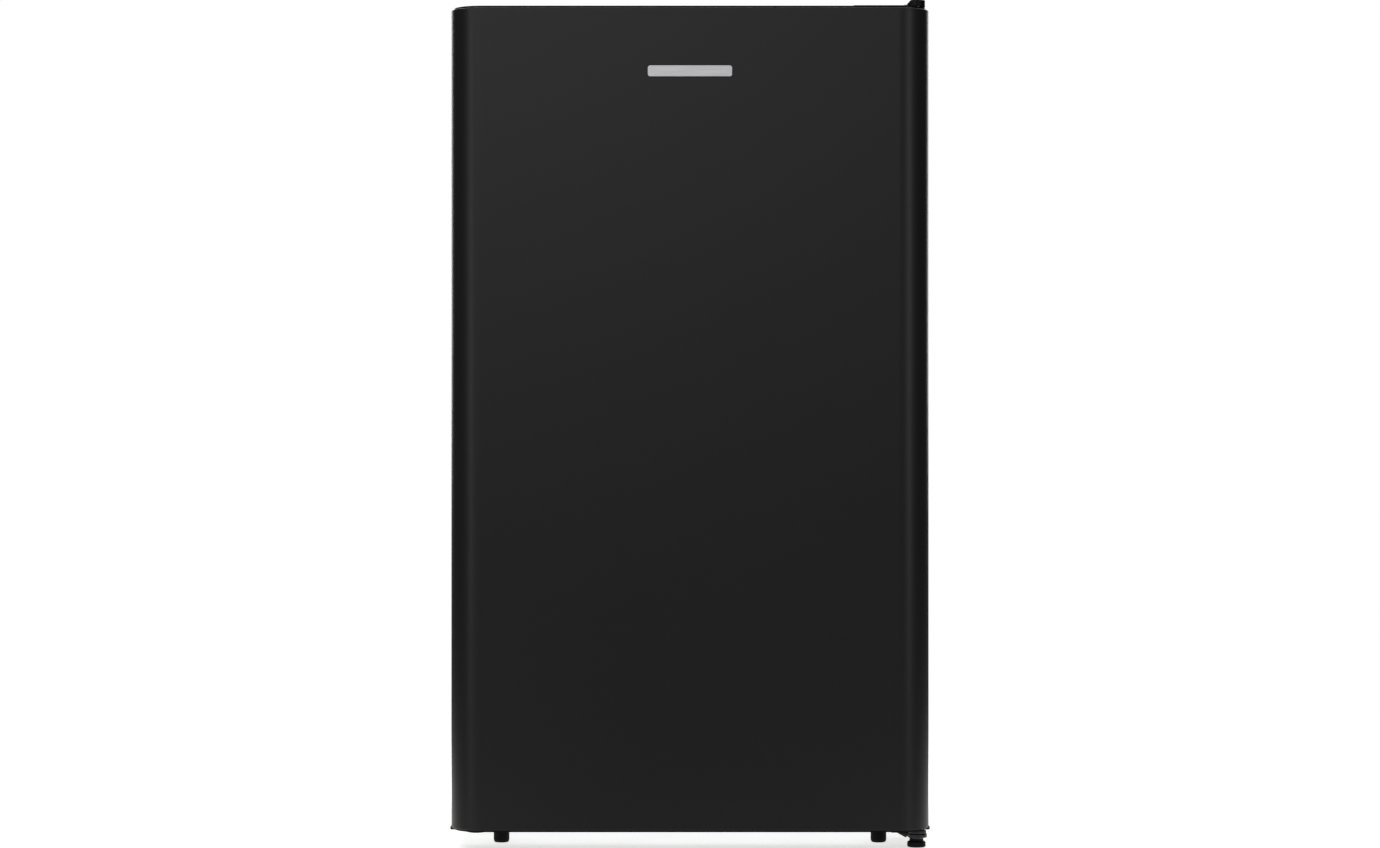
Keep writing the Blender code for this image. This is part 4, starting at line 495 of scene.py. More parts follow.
# ================================================================ forms
class Form:
    """A piece in the making: one bmesh, in the fridge's frame."""

    def __init__(self) -> None:
        """Starts with nothing."""
        self.bm = bmesh.new()

    def join(self, *others: "Form") -> "Form":
        """Takes in the shapes of other forms, which are used up, and returns this one."""
        for other in others:
            mesh = bpy.data.meshes.new("joining")
            other.bm.to_mesh(mesh)
            other.bm.free()
            self.bm.from_mesh(mesh)
            bpy.data.meshes.remove(mesh)
        return self

    def edges(self, test: Callable[[Vector, Vector], bool]) -> list[bmesh.types.BMEdge]:
        """Returns the edges whose two ends pass a test."""
        return [e for e in self.bm.edges if test(e.verts[0].co, e.verts[1].co)]

    def faces(self, test: Callable[[Vector, Vector], bool]) -> list[bmesh.types.BMFace]:
        """Returns the faces whose middle and normal pass a test."""
        self.bm.normal_update()
        return [f for f in self.bm.faces if test(f.calc_center_median(), f.normal)]

    def clean(self, distance: float = 0.002 * MM) -> "Form":
        """Merges the vertices that lie together, turns every face outwards and returns the form."""
        bmesh.ops.remove_doubles(self.bm, verts=self.bm.verts, dist=distance)
        bmesh.ops.dissolve_degenerate(self.bm, edges=self.bm.edges, dist=distance)
        bmesh.ops.recalc_face_normals(self.bm, faces=self.bm.faces)
        return self

    def round(self, edges: list[bmesh.types.BMEdge], radius: float, segments: int = 6) -> "Form":
        """Rounds edges and returns the form.

        Args:
            edges: The edges to round.
            radius: The distance taken off each side of an edge.
            segments: The number of steps round it.
        """
        if edges:
            bmesh.ops.bevel(
                self.bm,
                geom=edges,
                offset=radius,
                segments=segments,
                profile=0.5,
                affect="EDGES",
                material=-1,
                clamp_overlap=True,
            )
            self.clean()
        return self

    def soften(self, radius: float = 0.5 * MM, segments: int = 2, angle: float = 40.0) -> "Form":
        """Rounds every edge that turns by more than an angle in degrees, and returns the form."""
        self.bm.normal_update()
        limit = math.radians(angle)
        sharp = [e for e in self.bm.edges if len(e.link_faces) == 2 and e.calc_face_angle(0.0) > limit]
        return self.round(sharp, radius, segments)

    def step(self, face: bmesh.types.BMFace, inset: float, rise: float) -> bmesh.types.BMFace:
        """Extrudes a flat face along its normal and draws it in, leaving a band of faces round it.

        Args:
            face: The face that moves.
            inset: How far its sides draw in; a negative one spreads them.
            rise: How far it moves along its normal; a negative one sinks it.

        Returns:
            The moved face.
        """
        normal = face.normal.copy()
        made = bmesh.ops.extrude_discrete_faces(self.bm, faces=[face])["faces"][0]
        made.normal_update()
        spots = [v.co for v in made.verts]
        low = Vector([min(s[i] for s in spots) for i in range(3)])
        high = Vector([max(s[i] for s in spots) for i in range(3)])
        span = high - low
        factor = [1 - 2 * inset / span[i] if span[i] > TOUCH else 1.0 for i in range(3)]
        middle = (low + high) / 2
        bmesh.ops.scale(self.bm, vec=factor, space=Matrix.Translation(-middle), verts=made.verts)
        bmesh.ops.translate(self.bm, vec=normal * rise, verts=made.verts)
        made.normal_update()
        return made

    def move(self, vec: Sequence[float]) -> "Form":
        """Moves the form and returns it."""
        bmesh.ops.translate(self.bm, vec=vec, verts=self.bm.verts)
        return self


def corners(node: str) -> tuple[Vector, Vector]:
    """Returns the lowest and the highest corner of one of the frame's nodes."""
    low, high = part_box(node)
    return Vector(low), Vector(high)


def lay(form: Form, axis: Axis) -> Form:
    """Turns a form that stands along Z so that it points along an axis, and returns it."""
    turns = {Axis.X: Matrix.Rotation(math.pi / 2, 3, "Y"), Axis.Y: Matrix.Rotation(-math.pi / 2, 3, "X")}
    if axis in turns:
        bmesh.ops.rotate(form.bm, matrix=turns[axis], verts=form.bm.verts)
    return form


def block(low: Sequence[float], high: Sequence[float]) -> Form:
    """Makes a box between two corners."""
    form = Form()
    low, high = Vector(low), Vector(high)
    verts = bmesh.ops.create_cube(form.bm, size=1.0)["verts"]
    bmesh.ops.scale(form.bm, vec=high - low, verts=verts)
    bmesh.ops.translate(form.bm, vec=(low + high) / 2, verts=verts)
    return form


def slab(
    low: Sequence[float],
    high: Sequence[float],
    axis: Axis = Axis.Z,
    corner: float = 0.0,
    edge: float = 0.5 * MM,
    where: Callable[[Vector], bool] = lambda spot: True,
    segments: int = 8,
) -> Form:
    """Makes a box whose edges along one axis are rounded in plan, and whose rims are softened.

    Args:
        low: Its lowest corner.
        high: Its highest corner.
        axis: The axis the rounded edges run along.
        corner: Their radius.
        edge: The radius of the rims.
        where: Says which of the four edges are rounded, from a point on each.
        segments: The number of steps round a corner.

    Returns:
        The form.
    """
    form = block(low, high)
    if corner:
        others = [k for k in range(3) if k != axis.value]
        upright = form.edges(lambda a, b: all(abs(a[k] - b[k]) < MERGE for k in others) and where(a))
        form.round(upright, corner, segments)
    return form.soften(edge) if edge else form


def lathe(
    profile: Sequence[tuple[float, float]],
    spot: Sequence[float],
    axis: Axis = Axis.Z,
    steps: int = 48,
    scale: Sequence[float] = (1.0, 1.0, 1.0),
) -> Form:
    """Spins a profile about an axis.

    Args:
        profile: (radius, height) points in metres. With both ends on the axis it closes by itself; otherwise
            its ends are joined into a ring.
        spot: The point that the profile is measured from.
        axis: The axis of the spin.
        steps: The number of steps round it.
        scale: A stretch of the result before it is turned.

    Returns:
        The form.
    """
    form = Form()
    bm = form.bm
    verts = [bm.verts.new((r, 0.0, h)) for r, h in profile]
    edges = [bm.edges.new(pair) for pair in zip(verts, verts[1:])]
    if profile[0][0] > 0 and profile[-1][0] > 0:
        edges.append(bm.edges.new((verts[-1], verts[0])))
    bmesh.ops.spin(
        bm, geom=verts + edges, axis=(0, 0, 1), cent=(0, 0, 0), angle=math.tau, steps=steps, use_merge=True
    )
    bmesh.ops.remove_doubles(bm, verts=bm.verts, dist=MERGE)
    bmesh.ops.scale(bm, vec=scale, verts=bm.verts)
    lay(form, axis).move(spot)
    bmesh.ops.recalc_face_normals(bm, faces=bm.faces)
    return form


def traced(node: str, edge: float = 0.4 * MM, segments: int = 2, angle: float = 40.0) -> Form:
    """Starts from the frame's own solid: merges it, clears its flat faces and softens its edges.

    Args:
        node: The frame's node.
        edge: The radius put on its edges, or 0 for none.
        segments: The number of steps round it.
        angle: The turn, in degrees, from which an edge counts.

    Returns:
        The form.
    """
    form = Form()
    form.bm.from_mesh(bpy.data.objects[node].data)
    bmesh.ops.remove_doubles(form.bm, verts=form.bm.verts, dist=WELD)
    bmesh.ops.dissolve_limit(
        form.bm,
        angle_limit=FLAT_WITHIN,
        verts=form.bm.verts,
        edges=form.bm.edges,
        use_dissolve_boundaries=False,
    )
    return form.soften(edge, segments, angle) if edge else form


def tube(name: str, runs: Sequence[Sequence[Sequence[float]]], radius: float, sides: int = 3) -> Form:
    """Makes round tubes along runs of points.

    Args:
        name: A name for the curve while it is made.
        runs: For each tube, its points.
        radius: The tubes' radius.
        sides: The bevel resolution; a tube has 4 + 2 x sides faces round it.

    Returns:
        The form.
    """
    curve = bpy.data.curves.new(name, "CURVE")
    curve.dimensions = "3D"
    curve.bevel_depth = radius
    curve.bevel_resolution = sides
    curve.use_fill_caps = True
    for points in runs:
        spline = curve.splines.new("POLY")
        spline.points.add(len(points) - 1)
        for point, spot in zip(spline.points, points):
            point.co = (*spot, 1.0)
    carrier = bpy.data.objects.new(name, curve)
    mesh = carrier.to_mesh()
    form = Form()
    form.bm.from_mesh(mesh)
    carrier.to_mesh_clear()
    bpy.data.objects.remove(carrier)
    bpy.data.curves.remove(curve)
    return form


def smooth_route(knots: Sequence[Sequence[float]], steps: int = 12) -> list[Vector]:
    """Runs a Catmull-Rom curve through the knots.

    Args:
        knots: The points it passes through.
        steps: The number of points for each stretch.

    Returns:
        The points along it.
    """
    spots = [Vector(k) for k in knots]
    padded = [2 * spots[0] - spots[1], *spots, 2 * spots[-1] - spots[-2]]
    route = []
    for a, b, c, d in zip(padded, padded[1:], padded[2:], padded[3:]):
        for i in range(steps):
            t = i / steps
            cubic = (2 * a - 5 * b + 4 * c - d) * t**2 + (3 * b - a - 3 * c + d) * t**3
            route.append(0.5 * (2 * b + (c - a) * t + cubic))
    return [*route, spots[-1]]


def serpentine(
    left: float, right: float, levels: Sequence[float], steps: int = 12
) -> list[tuple[float, float]]:
    """Lays a line to and fro between two sides, with round bends.

    Args:
        left: Its left side, bends included.
        right: Its right side.
        levels: The height of each pass.
        steps: The number of points round a bend.

    Returns:
        Its points, as (across, up).
    """
    route = [(right, levels[0])]
    for index, (low, high) in enumerate(zip(levels, levels[1:])):
        radius, side = (high - low) / 2, -1 if index % 2 == 0 else 1
        middle = left + radius if side < 0 else right - radius
        for k in range(steps + 1):
            turn = math.radians(-90 + 180 * k / steps)
            across, up = side * radius * math.cos(turn), radius * math.sin(turn)
            route.append((middle + across, (low + high) / 2 + up))
    route.append((left if len(levels) % 2 else right, levels[-1]))
    return route


def rounded_line(
    low: Vector, high: Vector, inset: float, corner: float, steps: int = 6
) -> list[tuple[float, float]]:
    """Lays a closed line inside an upright rectangle, with round corners.

    Args:
        low: The rectangle's lowest corner.
        high: Its highest corner.
        inset: How far inside its sides the line runs.
        corner: The radius of the line's corners.
        steps: The number of steps round a corner.

    Returns:
        Its points, as (across, up), with the first one again at the end.
    """
    reach = inset + corner
    left, right, bottom, top = low.x + reach, high.x - reach, low.z + reach, high.z - reach
    route = []
    for quarter, (x, z) in enumerate(((left, bottom), (right, bottom), (right, top), (left, top))):
        for k in range(steps + 1):
            turn = math.radians(180 + 90 * quarter + 90 * k / steps)
            route.append((x + corner * math.cos(turn), z + corner * math.sin(turn)))
    return [*route, route[0]]


def bead(route: Sequence[Sequence[float]], half_width: float, height: float, axis: Axis) -> Form:
    """Makes a low rounded ridge along a route that lies in a plane, as a die presses into sheet.

    Args:
        route: Its points.
        half_width: Half of its width.
        height: How far it stands out of the plane, on both sides.
        axis: The plane's normal.

    Returns:
        The form.
    """
    form = tube("bead", [route], half_width, 4)
    squash = [1.0, 1.0, 1.0]
    squash[axis.value] = height / half_width
    level = Matrix.Translation(-Vector(route[0]))
    bmesh.ops.scale(form.bm, vec=squash, space=level, verts=form.bm.verts)
    return form


def figure(text: str, height: float, depth: float) -> Form:
    """Makes a raised figure, centred on the origin, that reads from -X with +Z up.

    Args:
        text: The figure.
        height: The height of its letters.
        depth: How far it stands out.

    Returns:
        The form.
    """
    curve = bpy.data.curves.new("figure", "FONT")
    curve.body = text
    curve.size = height * FONT_OVER_FIGURE
    curve.extrude = depth
    curve.align_x = "CENTER"
    curve.align_y = "CENTER"
    carrier = bpy.data.objects.new("figure", curve)
    form = Form()
    form.bm.from_mesh(carrier.to_mesh())
    carrier.to_mesh_clear()
    bpy.data.objects.remove(carrier)
    bpy.data.curves.remove(curve)
    bmesh.ops.remove_doubles(form.bm, verts=form.bm.verts, dist=MERGE)
    facing = Matrix(((0, 0, -1), (-1, 0, 0), (0, 1, 0)))
    bmesh.ops.rotate(form.bm, matrix=facing, verts=form.bm.verts)
    return form


def flute(form: Form, spot: Vector, radius: float, count: int, depth: float) -> Form:
    """Sinks every other column of vertices on a turned piece's rim, as grip ribs.

    Args:
        form: The piece, spun about a vertical axis in twice as many steps as there are ribs.
        spot: A point on its axis.
        radius: Only vertices this far out, or further, are sunk.
        count: The number of ribs.
        depth: How far in they go.

    Returns:
        The form.
    """
    rim = []
    for vert in form.bm.verts:
        flat = Vector((vert.co.x - spot.x, vert.co.y - spot.y))
        if flat.length >= radius and round(math.atan2(flat.y, flat.x) * 2 * count / math.tau) % 2:
            rim.append((vert, flat.length))
    for vert, reach in rim:
        factor = (reach - depth) / reach
        vert.co.x = spot.x + (vert.co.x - spot.x) * factor
        vert.co.y = spot.y + (vert.co.y - spot.y) * factor
    return form


def place(
    name: str,
    form: Form,
    finish: Finish,
    body: Body,
    replaces: Sequence[str] = (),
    accent: Finish | None = None,
    accent_where: Callable[[Vector, Vector], bool] | None = None,
) -> bpy.types.Object:
    """Makes a form a piece of the fridge.

    Args:
        name: The piece's name.
        form: Its shape, which is used up.
        finish: Its material.
        body: The moving body it rides on.
        replaces: The frame's nodes that it stands for.
        accent: A second material.
        accent_where: Says which faces have it, from their middle and normal.

    Returns:
        The piece.
    """
    mesh = bpy.data.meshes.new(name)
    bmesh.ops.recalc_face_normals(form.bm, faces=form.bm.faces)
    if accent_where:
        for face in form.faces(accent_where):
            face.material_index = 1
    form.bm.to_mesh(mesh)
    form.bm.free()
    mesh.shade_smooth()
    mesh.set_sharp_from_angle(angle=SMOOTH_BELOW)
    mesh.materials.append(finish.material())
    if accent:
        mesh.materials.append(accent.material())
    piece = bpy.data.objects.new(name, mesh)
    bpy.context.scene.collection.objects.link(piece)
    shading = piece.modifiers.new("even_shading", "WEIGHTED_NORMAL")
    shading.keep_sharp = True
    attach(piece, body.value)
    if replaces:
        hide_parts(*replaces)
    log.info("%s: %d faces, on %s", name, len(mesh.polygons), body.value)
    return piece


def trace_all(entries: Sequence[tuple[str, str, Finish, Body, str, float]], segments: int = 2) -> None:
    """Places pieces that keep the frame's shape, with softened edges.

    Args:
        entries: For each, its name, node, finish, body, slot and edge radius in millimetres.
        segments: The number of steps round an edge.
    """
    for name, node, finish, body, slot, edge in entries:
        place(name, traced(node, edge * MM, segments), finish, body, [node])


def hex_screw(spot: Sequence[float], radius: float, axis: Axis, outward: int) -> Form:
    """Makes a hexagon washer-head screw's head.

    Args:
        spot: The middle of its seat.
        radius: Its washer's radius.
        axis: The axis it points along.
        outward: 1 or -1, the way its head faces along the axis.

    Returns:
        The form.
    """
    washer = lathe(
        [(0, 0), (radius, 0), (radius, 0.12 * radius), (radius * 0.86, 0.26 * radius), (0, 0.26 * radius)],
        (0, 0, 0),
        steps=24,
    )
    head = Form()
    bmesh.ops.create_circle(head.bm, cap_ends=True, radius=radius * 0.7, segments=6)
    face = head.bm.faces[:][0]
    face.normal_update()
    if face.normal.z < 0:
        face.normal_flip()
    head.move((0, 0, 0.2 * radius))
    face = head.step(face, 0, 0.42 * radius)
    face = head.step(face, 0.08 * radius, 0.08 * radius)
    face = head.step(face, 0.2 * radius, 0.0)
    head.step(face, 0.08 * radius, -0.14 * radius)
    washer.join(head)
    if outward < 0:
        bmesh.ops.rotate(washer.bm, matrix=Matrix.Rotation(math.pi, 3, "X"), verts=washer.bm.verts)
    return lay(washer, axis).move(spot)


# ================================================================ stage
@dataclass(frozen=True)
class FloorFinish(Finish):
    """Matt white paper that thins out to nothing, so that the floor has no edge.

    It is solid near the fridge and gone at its fade. From the door's front backwards it glows, as a lit
    backdrop does.
    """

    solid_m: float = 0.35
    fade_m: float = 1.15
    glow: float = 0.8
    glow_start_y: float = -0.31
    glow_full_y: float = -0.15

    def dress(self, tree: bpy.types.NodeTree, shader: bpy.types.Node) -> None:
        """Dresses the paper, adds its glow and fades it with its distance from the fridge.

        Args:
            tree: The material's nodes.
            shader: Its Principled BSDF.
        """
        super().dress(tree, shader)
        shader.inputs["Emission Color"].default_value = linear(self.colour)
        spot = add_node(tree, "ShaderNodeTexCoord").outputs["Object"]
        depth = add_node(tree, "ShaderNodeSeparateXYZ", {0: spot}).outputs["Y"]
        rear = {
            "Value": depth,
            "From Min": self.glow_start_y,
            "From Max": self.glow_full_y,
            "To Max": self.glow,
        }
        lift = add_node(tree, "ShaderNodeMapRange", rear, interpolation_type="SMOOTHSTEP")
        tree.links.new(lift.outputs["Result"], shader.inputs["Emission Strength"])
        away = add_node(tree, "ShaderNodeVectorMath", {0: spot}, operation="LENGTH").outputs["Value"]
        reach = {
            "Value": away,
            "From Min": self.solid_m,
            "From Max": self.fade_m,
            "To Min": 1.0,
            "To Max": 0.0,
        }
        fade = add_node(tree, "ShaderNodeMapRange", reach, interpolation_type="SMOOTHSTEP")
        tree.links.new(fade.outputs["Result"], shader.inputs["Alpha"])


class Softbox(Enum):
    """The studio's lights: place, aim, width, height and power."""

    KEY = ((-1.3, -2.0, 2.6), (0.0, 0.0, 0.7), 0.8, 0.8, 17.0)
    FRONT = ((-0.8, -4.6, 2.1), (0.0, 0.0, 0.8), 3.0, 2.2, 48.0)
    STRIP_LEFT = ((-2.3, -2.5, 0.9), (0.0, -0.2, 0.5), 0.35, 1.8, 13.5)
    STRIP_RIGHT = ((2.3, -2.5, 0.9), (0.0, -0.2, 0.5), 0.35, 1.8, 15.0)
    OVERHEAD = ((0.0, 2.2, 2.8), (0.0, 2.2, 0.0), 4.0, 3.4, 130.0)
    REAR_LEFT = ((-1.7, 3.2, 1.2), (0.0, 0.2, 0.4), 1.2, 1.6, 25.0)
    REAR_RIGHT = ((1.7, 3.2, 1.2), (0.0, 0.2, 0.4), 1.2, 1.6, 25.0)
    CABIN = ((0.03, 0.03, 0.63), (0.0, 0.02, 0.3), 0.22, 0.12, 0.5)

    def hang(self) -> None:
        """Hangs the light in the scene."""
        spot, aim, width, height, power = self.value
        data = bpy.data.lights.new(self.name.lower(), "AREA")
        data.shape = "RECTANGLE"
        data.size, data.size_y = width, height
        data.energy = power
        light = bpy.data.objects.new(self.name.lower(), data)
        light.location = spot
        light.visible_camera = False
        light.rotation_euler = (Vector(aim) - Vector(spot)).to_track_quat("-Z", "Y").to_euler()
        bpy.context.scene.collection.objects.link(light)


@dataclass
class Stage:
    """The pale floor, the soft lights and the camera."""

    camera_distance: float = 3.247
    camera_height: float = 0.4257
    lens_mm: float = 85.0
    floor_half: float = 1.2
    sky_seen: float = 1.0
    sky_light: float = 0.06

    def build(self, front: float) -> None:
        """Sets up the studio.

        Args:
            front: The door's front, as a Y position.
        """
        self.build_camera(front)
        self.build_floor()
        for box in Softbox:
            box.hang()
        self.build_world()

    def build_camera(self, front: float) -> None:
        """Looks straight at the door from its own middle height."""
        data = bpy.data.cameras.new("camera")
        data.lens = self.lens_mm
        data.sensor_width = 36.0
        camera = bpy.data.objects.new("camera", data)
        camera.location = (0.0, front - self.camera_distance, self.camera_height)
        camera.rotation_euler = (math.pi / 2, 0.0, 0.0)
        bpy.context.scene.collection.objects.link(camera)
        bpy.context.scene.camera = camera
        bpy.context.scene.view_settings.view_transform = "Standard"

    def build_floor(self) -> None:
        """Lays the floor."""
        form = Form()
        bmesh.ops.create_circle(form.bm, cap_ends=True, radius=self.floor_half, segments=96)
        mesh = bpy.data.meshes.new("floor")
        form.bm.to_mesh(mesh)
        form.bm.free()
        shades = (Colour.PAPER, Colour.PAPER_SHADE)
        paper = FloorFinish("matt_white_paper", *shades, roughness=0.9, specular=0.05)
        mesh.materials.append(paper.material())
        floor = bpy.data.objects.new("floor", mesh)
        bpy.context.scene.collection.objects.link(floor)

    def build_world(self) -> None:
        """A white sky to the eye, which lights the fridge only dimly."""
        world = bpy.data.worlds.new("studio")
        bpy.context.scene.world = world
        world.use_nodes = True
        tree = world.node_tree
        tree.nodes.clear()
        path = add_node(tree, "ShaderNodeLightPath")
        dim = add_node(tree, "ShaderNodeBackground", {"Color": (1, 1, 1, 1), "Strength": self.sky_light})
        bright = add_node(tree, "ShaderNodeBackground", {"Color": (1, 1, 1, 1), "Strength": self.sky_seen})
        through = {0: path.outputs["Is Camera Ray"], 1: path.outputs["Is Transmission Ray"]}
        clear = add_node(tree, "ShaderNodeMath", through, operation="MAXIMUM")
        seen = {0: clear.outputs[0], 1: dim.outputs[0], 2: bright.outputs[0]}
        mix = add_node(tree, "ShaderNodeMixShader", seen)
        add_node(tree, "ShaderNodeOutputWorld", {"Surface": mix.outputs[0]})


# ================================================================ door
@dataclass
class Door:
    """The rolled steel front, its moulded caps, the foam, the badge and the bushes."""

    corner: float = 32 * MM
    hem: float = 1.0 * MM
    sheet: float = 0.8 * MM
    flange: float = 12 * MM
    lip: float = 2.6 * MM
    badge_corner: float = 2.5 * MM
    badge_band: float = 0.25 * MM
    badge_edge: float = 0.15 * MM

    def build(self) -> None:
        """Builds every piece of the door's shell."""
        self.build_skin()
        trace_all(
            [
                ("door_top_moulding", "door_top_cap", BLACK_ABS, Body.DOOR, "black_plastic", 0.5),
                ("door_bottom_moulding", "door_bottom_cap", BLACK_ABS, Body.DOOR, "black_plastic", 0.5),
                ("door_insulation", "door_foam", FOAM, Body.DOOR, "insulating_foam", 0.0),
                ("upper_pin_bush", "upper_bush", BLACK_NYLON, Body.DOOR, "nylon", 0.3),
                ("lower_pin_bush", "lower_bush", BLACK_NYLON, Body.DOOR, "nylon", 0.3),
            ]
        )
        self.build_badge()
        self.build_plug()

    def build_skin(self) -> None:
        """Folds the sheet round both sides and over a narrow hem at the top and bottom."""
        low, high = corners("door_skin")
        form = slab(low, high, Axis.Z, self.corner, 0.0, lambda spot: spot.y < low.y + 1 * MM, segments=24)
        rims = form.edges(lambda a, b: abs(a.z - b.z) < TOUCH and min(a.y, b.y) <= high.y - TOUCH)
        form.round(rims, self.hem, 3)
        for face in form.faces(lambda mid, normal: abs(normal.z) > FLAT or normal.y > FLAT):
            inner = form.step(face, self.flange if face.normal.y > FLAT else self.lip, 0.0)
            bmesh.ops.delete(form.bm, geom=[inner], context="FACES")
        form.clean()
        bmesh.ops.solidify(form.bm, geom=form.bm.faces[:], thickness=self.sheet)
        place("door_front_sheet", form, PAINT, Body.DOOR, ["door_skin"])

    def build_badge(self) -> None:
        """Sets a plain brushed bar near the top of the door."""
        low, high = corners("door_badge")
        form = slab(low, high, Axis.Y, self.badge_corner, 0.0)
        face = form.faces(lambda mid, normal: normal.y < -FLAT)[0]
        form.step(face, self.badge_band, 0.0)
        form.round(form.edges(lambda a, b: max(a.y, b.y) < low.y + TOUCH), self.badge_edge, 2)
        place("brushed_badge", form, BRUSHED_BADGE, Body.DOOR, ["door_badge"])

    def build_plug(self) -> None:
        """Turns the domed plug of the spare hinge hole: a dome, drawn in millimetres, on a narrower stem."""
        low, high = corners("hole_plug")
        middle, head = (low + high) / 2, (high.x - low.x) / 2
        top = high.z - low.z
        dome = [(0, 0), (1.3, 0), (1.8, 0.12), (4.5, 0.16), (7.5, 0.4), (9.6, 0.85), (10.7, 1.4), (11, 1.8)]
        profile = [(r / dome[-1][0] * head, h * MM) for r, h in dome]
        profile += [(head, 2.1 * MM), (6 * MM, 2.1 * MM), (6 * MM, top - 1 * MM), (5 * MM, top), (0, top)]
        form = lathe(profile, (middle.x, middle.y, low.z))
        place("spare_hole_plug", form, BLACK_ABS, Body.DOOR, ["hole_plug"])


@dataclass
class DoorLining:
    """What is seen when the door is open: the liner, the magnetic seal and three racks."""

    seal_fold: float = 1.2 * MM

    def build(self) -> None:
        """Builds the lining."""
        trace_all([("door_inner_panel", "door_liner", WHITE_LINER, Body.DOOR, "white_plastic", 1.2)], 3)
        racks = (Body.BOTTLE_RACK, Body.MIDDLE_RACK, Body.TOP_RACK)
        trace_all([(f"clear_{b.value}", b.value, CLEAR_PLASTIC, b, "clear_plastic", 0.8) for b in racks], 3)
        self.build_seal()

    def build_seal(self) -> None:
        """Folds the magnetic seal: a base, a bellows and the magnet's pocket."""
        low, high = corners("door_gasket")
        form = block(low, (high.x, low.y + 2.2 * MM, high.z))
        depth = high.y - low.y
        face = form.faces(lambda mid, normal: normal.y > FLAT)[0]
        fold = self.seal_fold
        # inset and rise of each band, from the base's outer edge over the bellows to the pocket's inner edge
        bands = (
            (fold, 0.0),
            (0.0, 0.7 * MM),
            (-fold, 0.5 * MM),
            (0.0, 1.0 * MM),
            (fold, 0.5 * MM),
            (0.0, 0.6 * MM),
            (-fold, 0.4 * MM),
            (0.0, depth - 6.7 * MM),
            (0.8 * MM, 0.8 * MM),
            (11.0 * MM, 0.0),
            (0.8 * MM, -0.8 * MM),
            (0.0, -2.4 * MM),
            (-2.2 * MM, -0.8 * MM),
            (0.0, -1.4 * MM),
            (4.6 * MM, -0.5 * MM),
            (0.0, -1.6 * MM),
        )
        for inset, rise in bands:
            face = form.step(face, inset, rise)
        back = form.faces(lambda mid, normal: normal.y < -FLAT)[0]
        hole = form.step(back, 15 * MM, 0.0)
        bmesh.ops.delete(form.bm, geom=[hole, face], context="FACES")
        rims = [e for e in form.bm.edges if e.is_boundary]
        bmesh.ops.bridge_loops(form.bm, edges=rims)
        form.soften(0.25 * MM, 2, 30)
        place("magnetic_seal", form, SEAL_PVC, Body.DOOR, ["door_gasket"])


# ================================================================ hinges and feet
@dataclass
class Hinges:
    """The two hinges, their cover and screws."""

    head_height: float = 2.3 * MM
    shank: float = 2.4 * MM
    washer_share: float = 0.98

    def build(self) -> None:
        """Builds every hinge piece."""
        trace_all(
            [
                ("upper_hinge_leaf", "upper_hinge_plate", ZINC_PLATE, Body.CABINET, "zinc_steel", 0.3),
                ("upper_hinge_post", "upper_hinge_pin", ZINC_PLATE, Body.CABINET, "zinc_steel", 0.3),
                ("lower_hinge_leaf", "lower_hinge_plate", BLACK_ZINC, Body.CABINET, "black_zinc", 0.4),
                ("lower_hinge_post", "lower_hinge_pin", BLACK_ZINC, Body.CABINET, "black_zinc", 0.3),
                ("spare_hinge_cover", "hinge_hole_cover", BLACK_ABS, Body.CABINET, "black_plastic", 0.5),
            ]
        )
        trace_all([("hinge_shroud", "hinge_cover", BLACK_ABS, Body.CABINET, "black_plastic", 0.7)], 3)
        for index in (1, 2):
            node = f"lower_hinge_screw_{index}"
            low, high = corners(node)
            middle = (low + high) / 2
            spot = (middle.x, middle.y, low.z + self.head_height)
            length = high.z - spot[2]
            form = hex_screw(spot, (high.x - low.x) / 2 * self.washer_share, Axis.Z, -1)
            form.join(lathe([(0, 0), (self.shank, 0), (self.shank, length), (0, length)], spot))
            place(f"hinge_screw_{index}", form, BLACK_ZINC, Body.CABINET, [node])


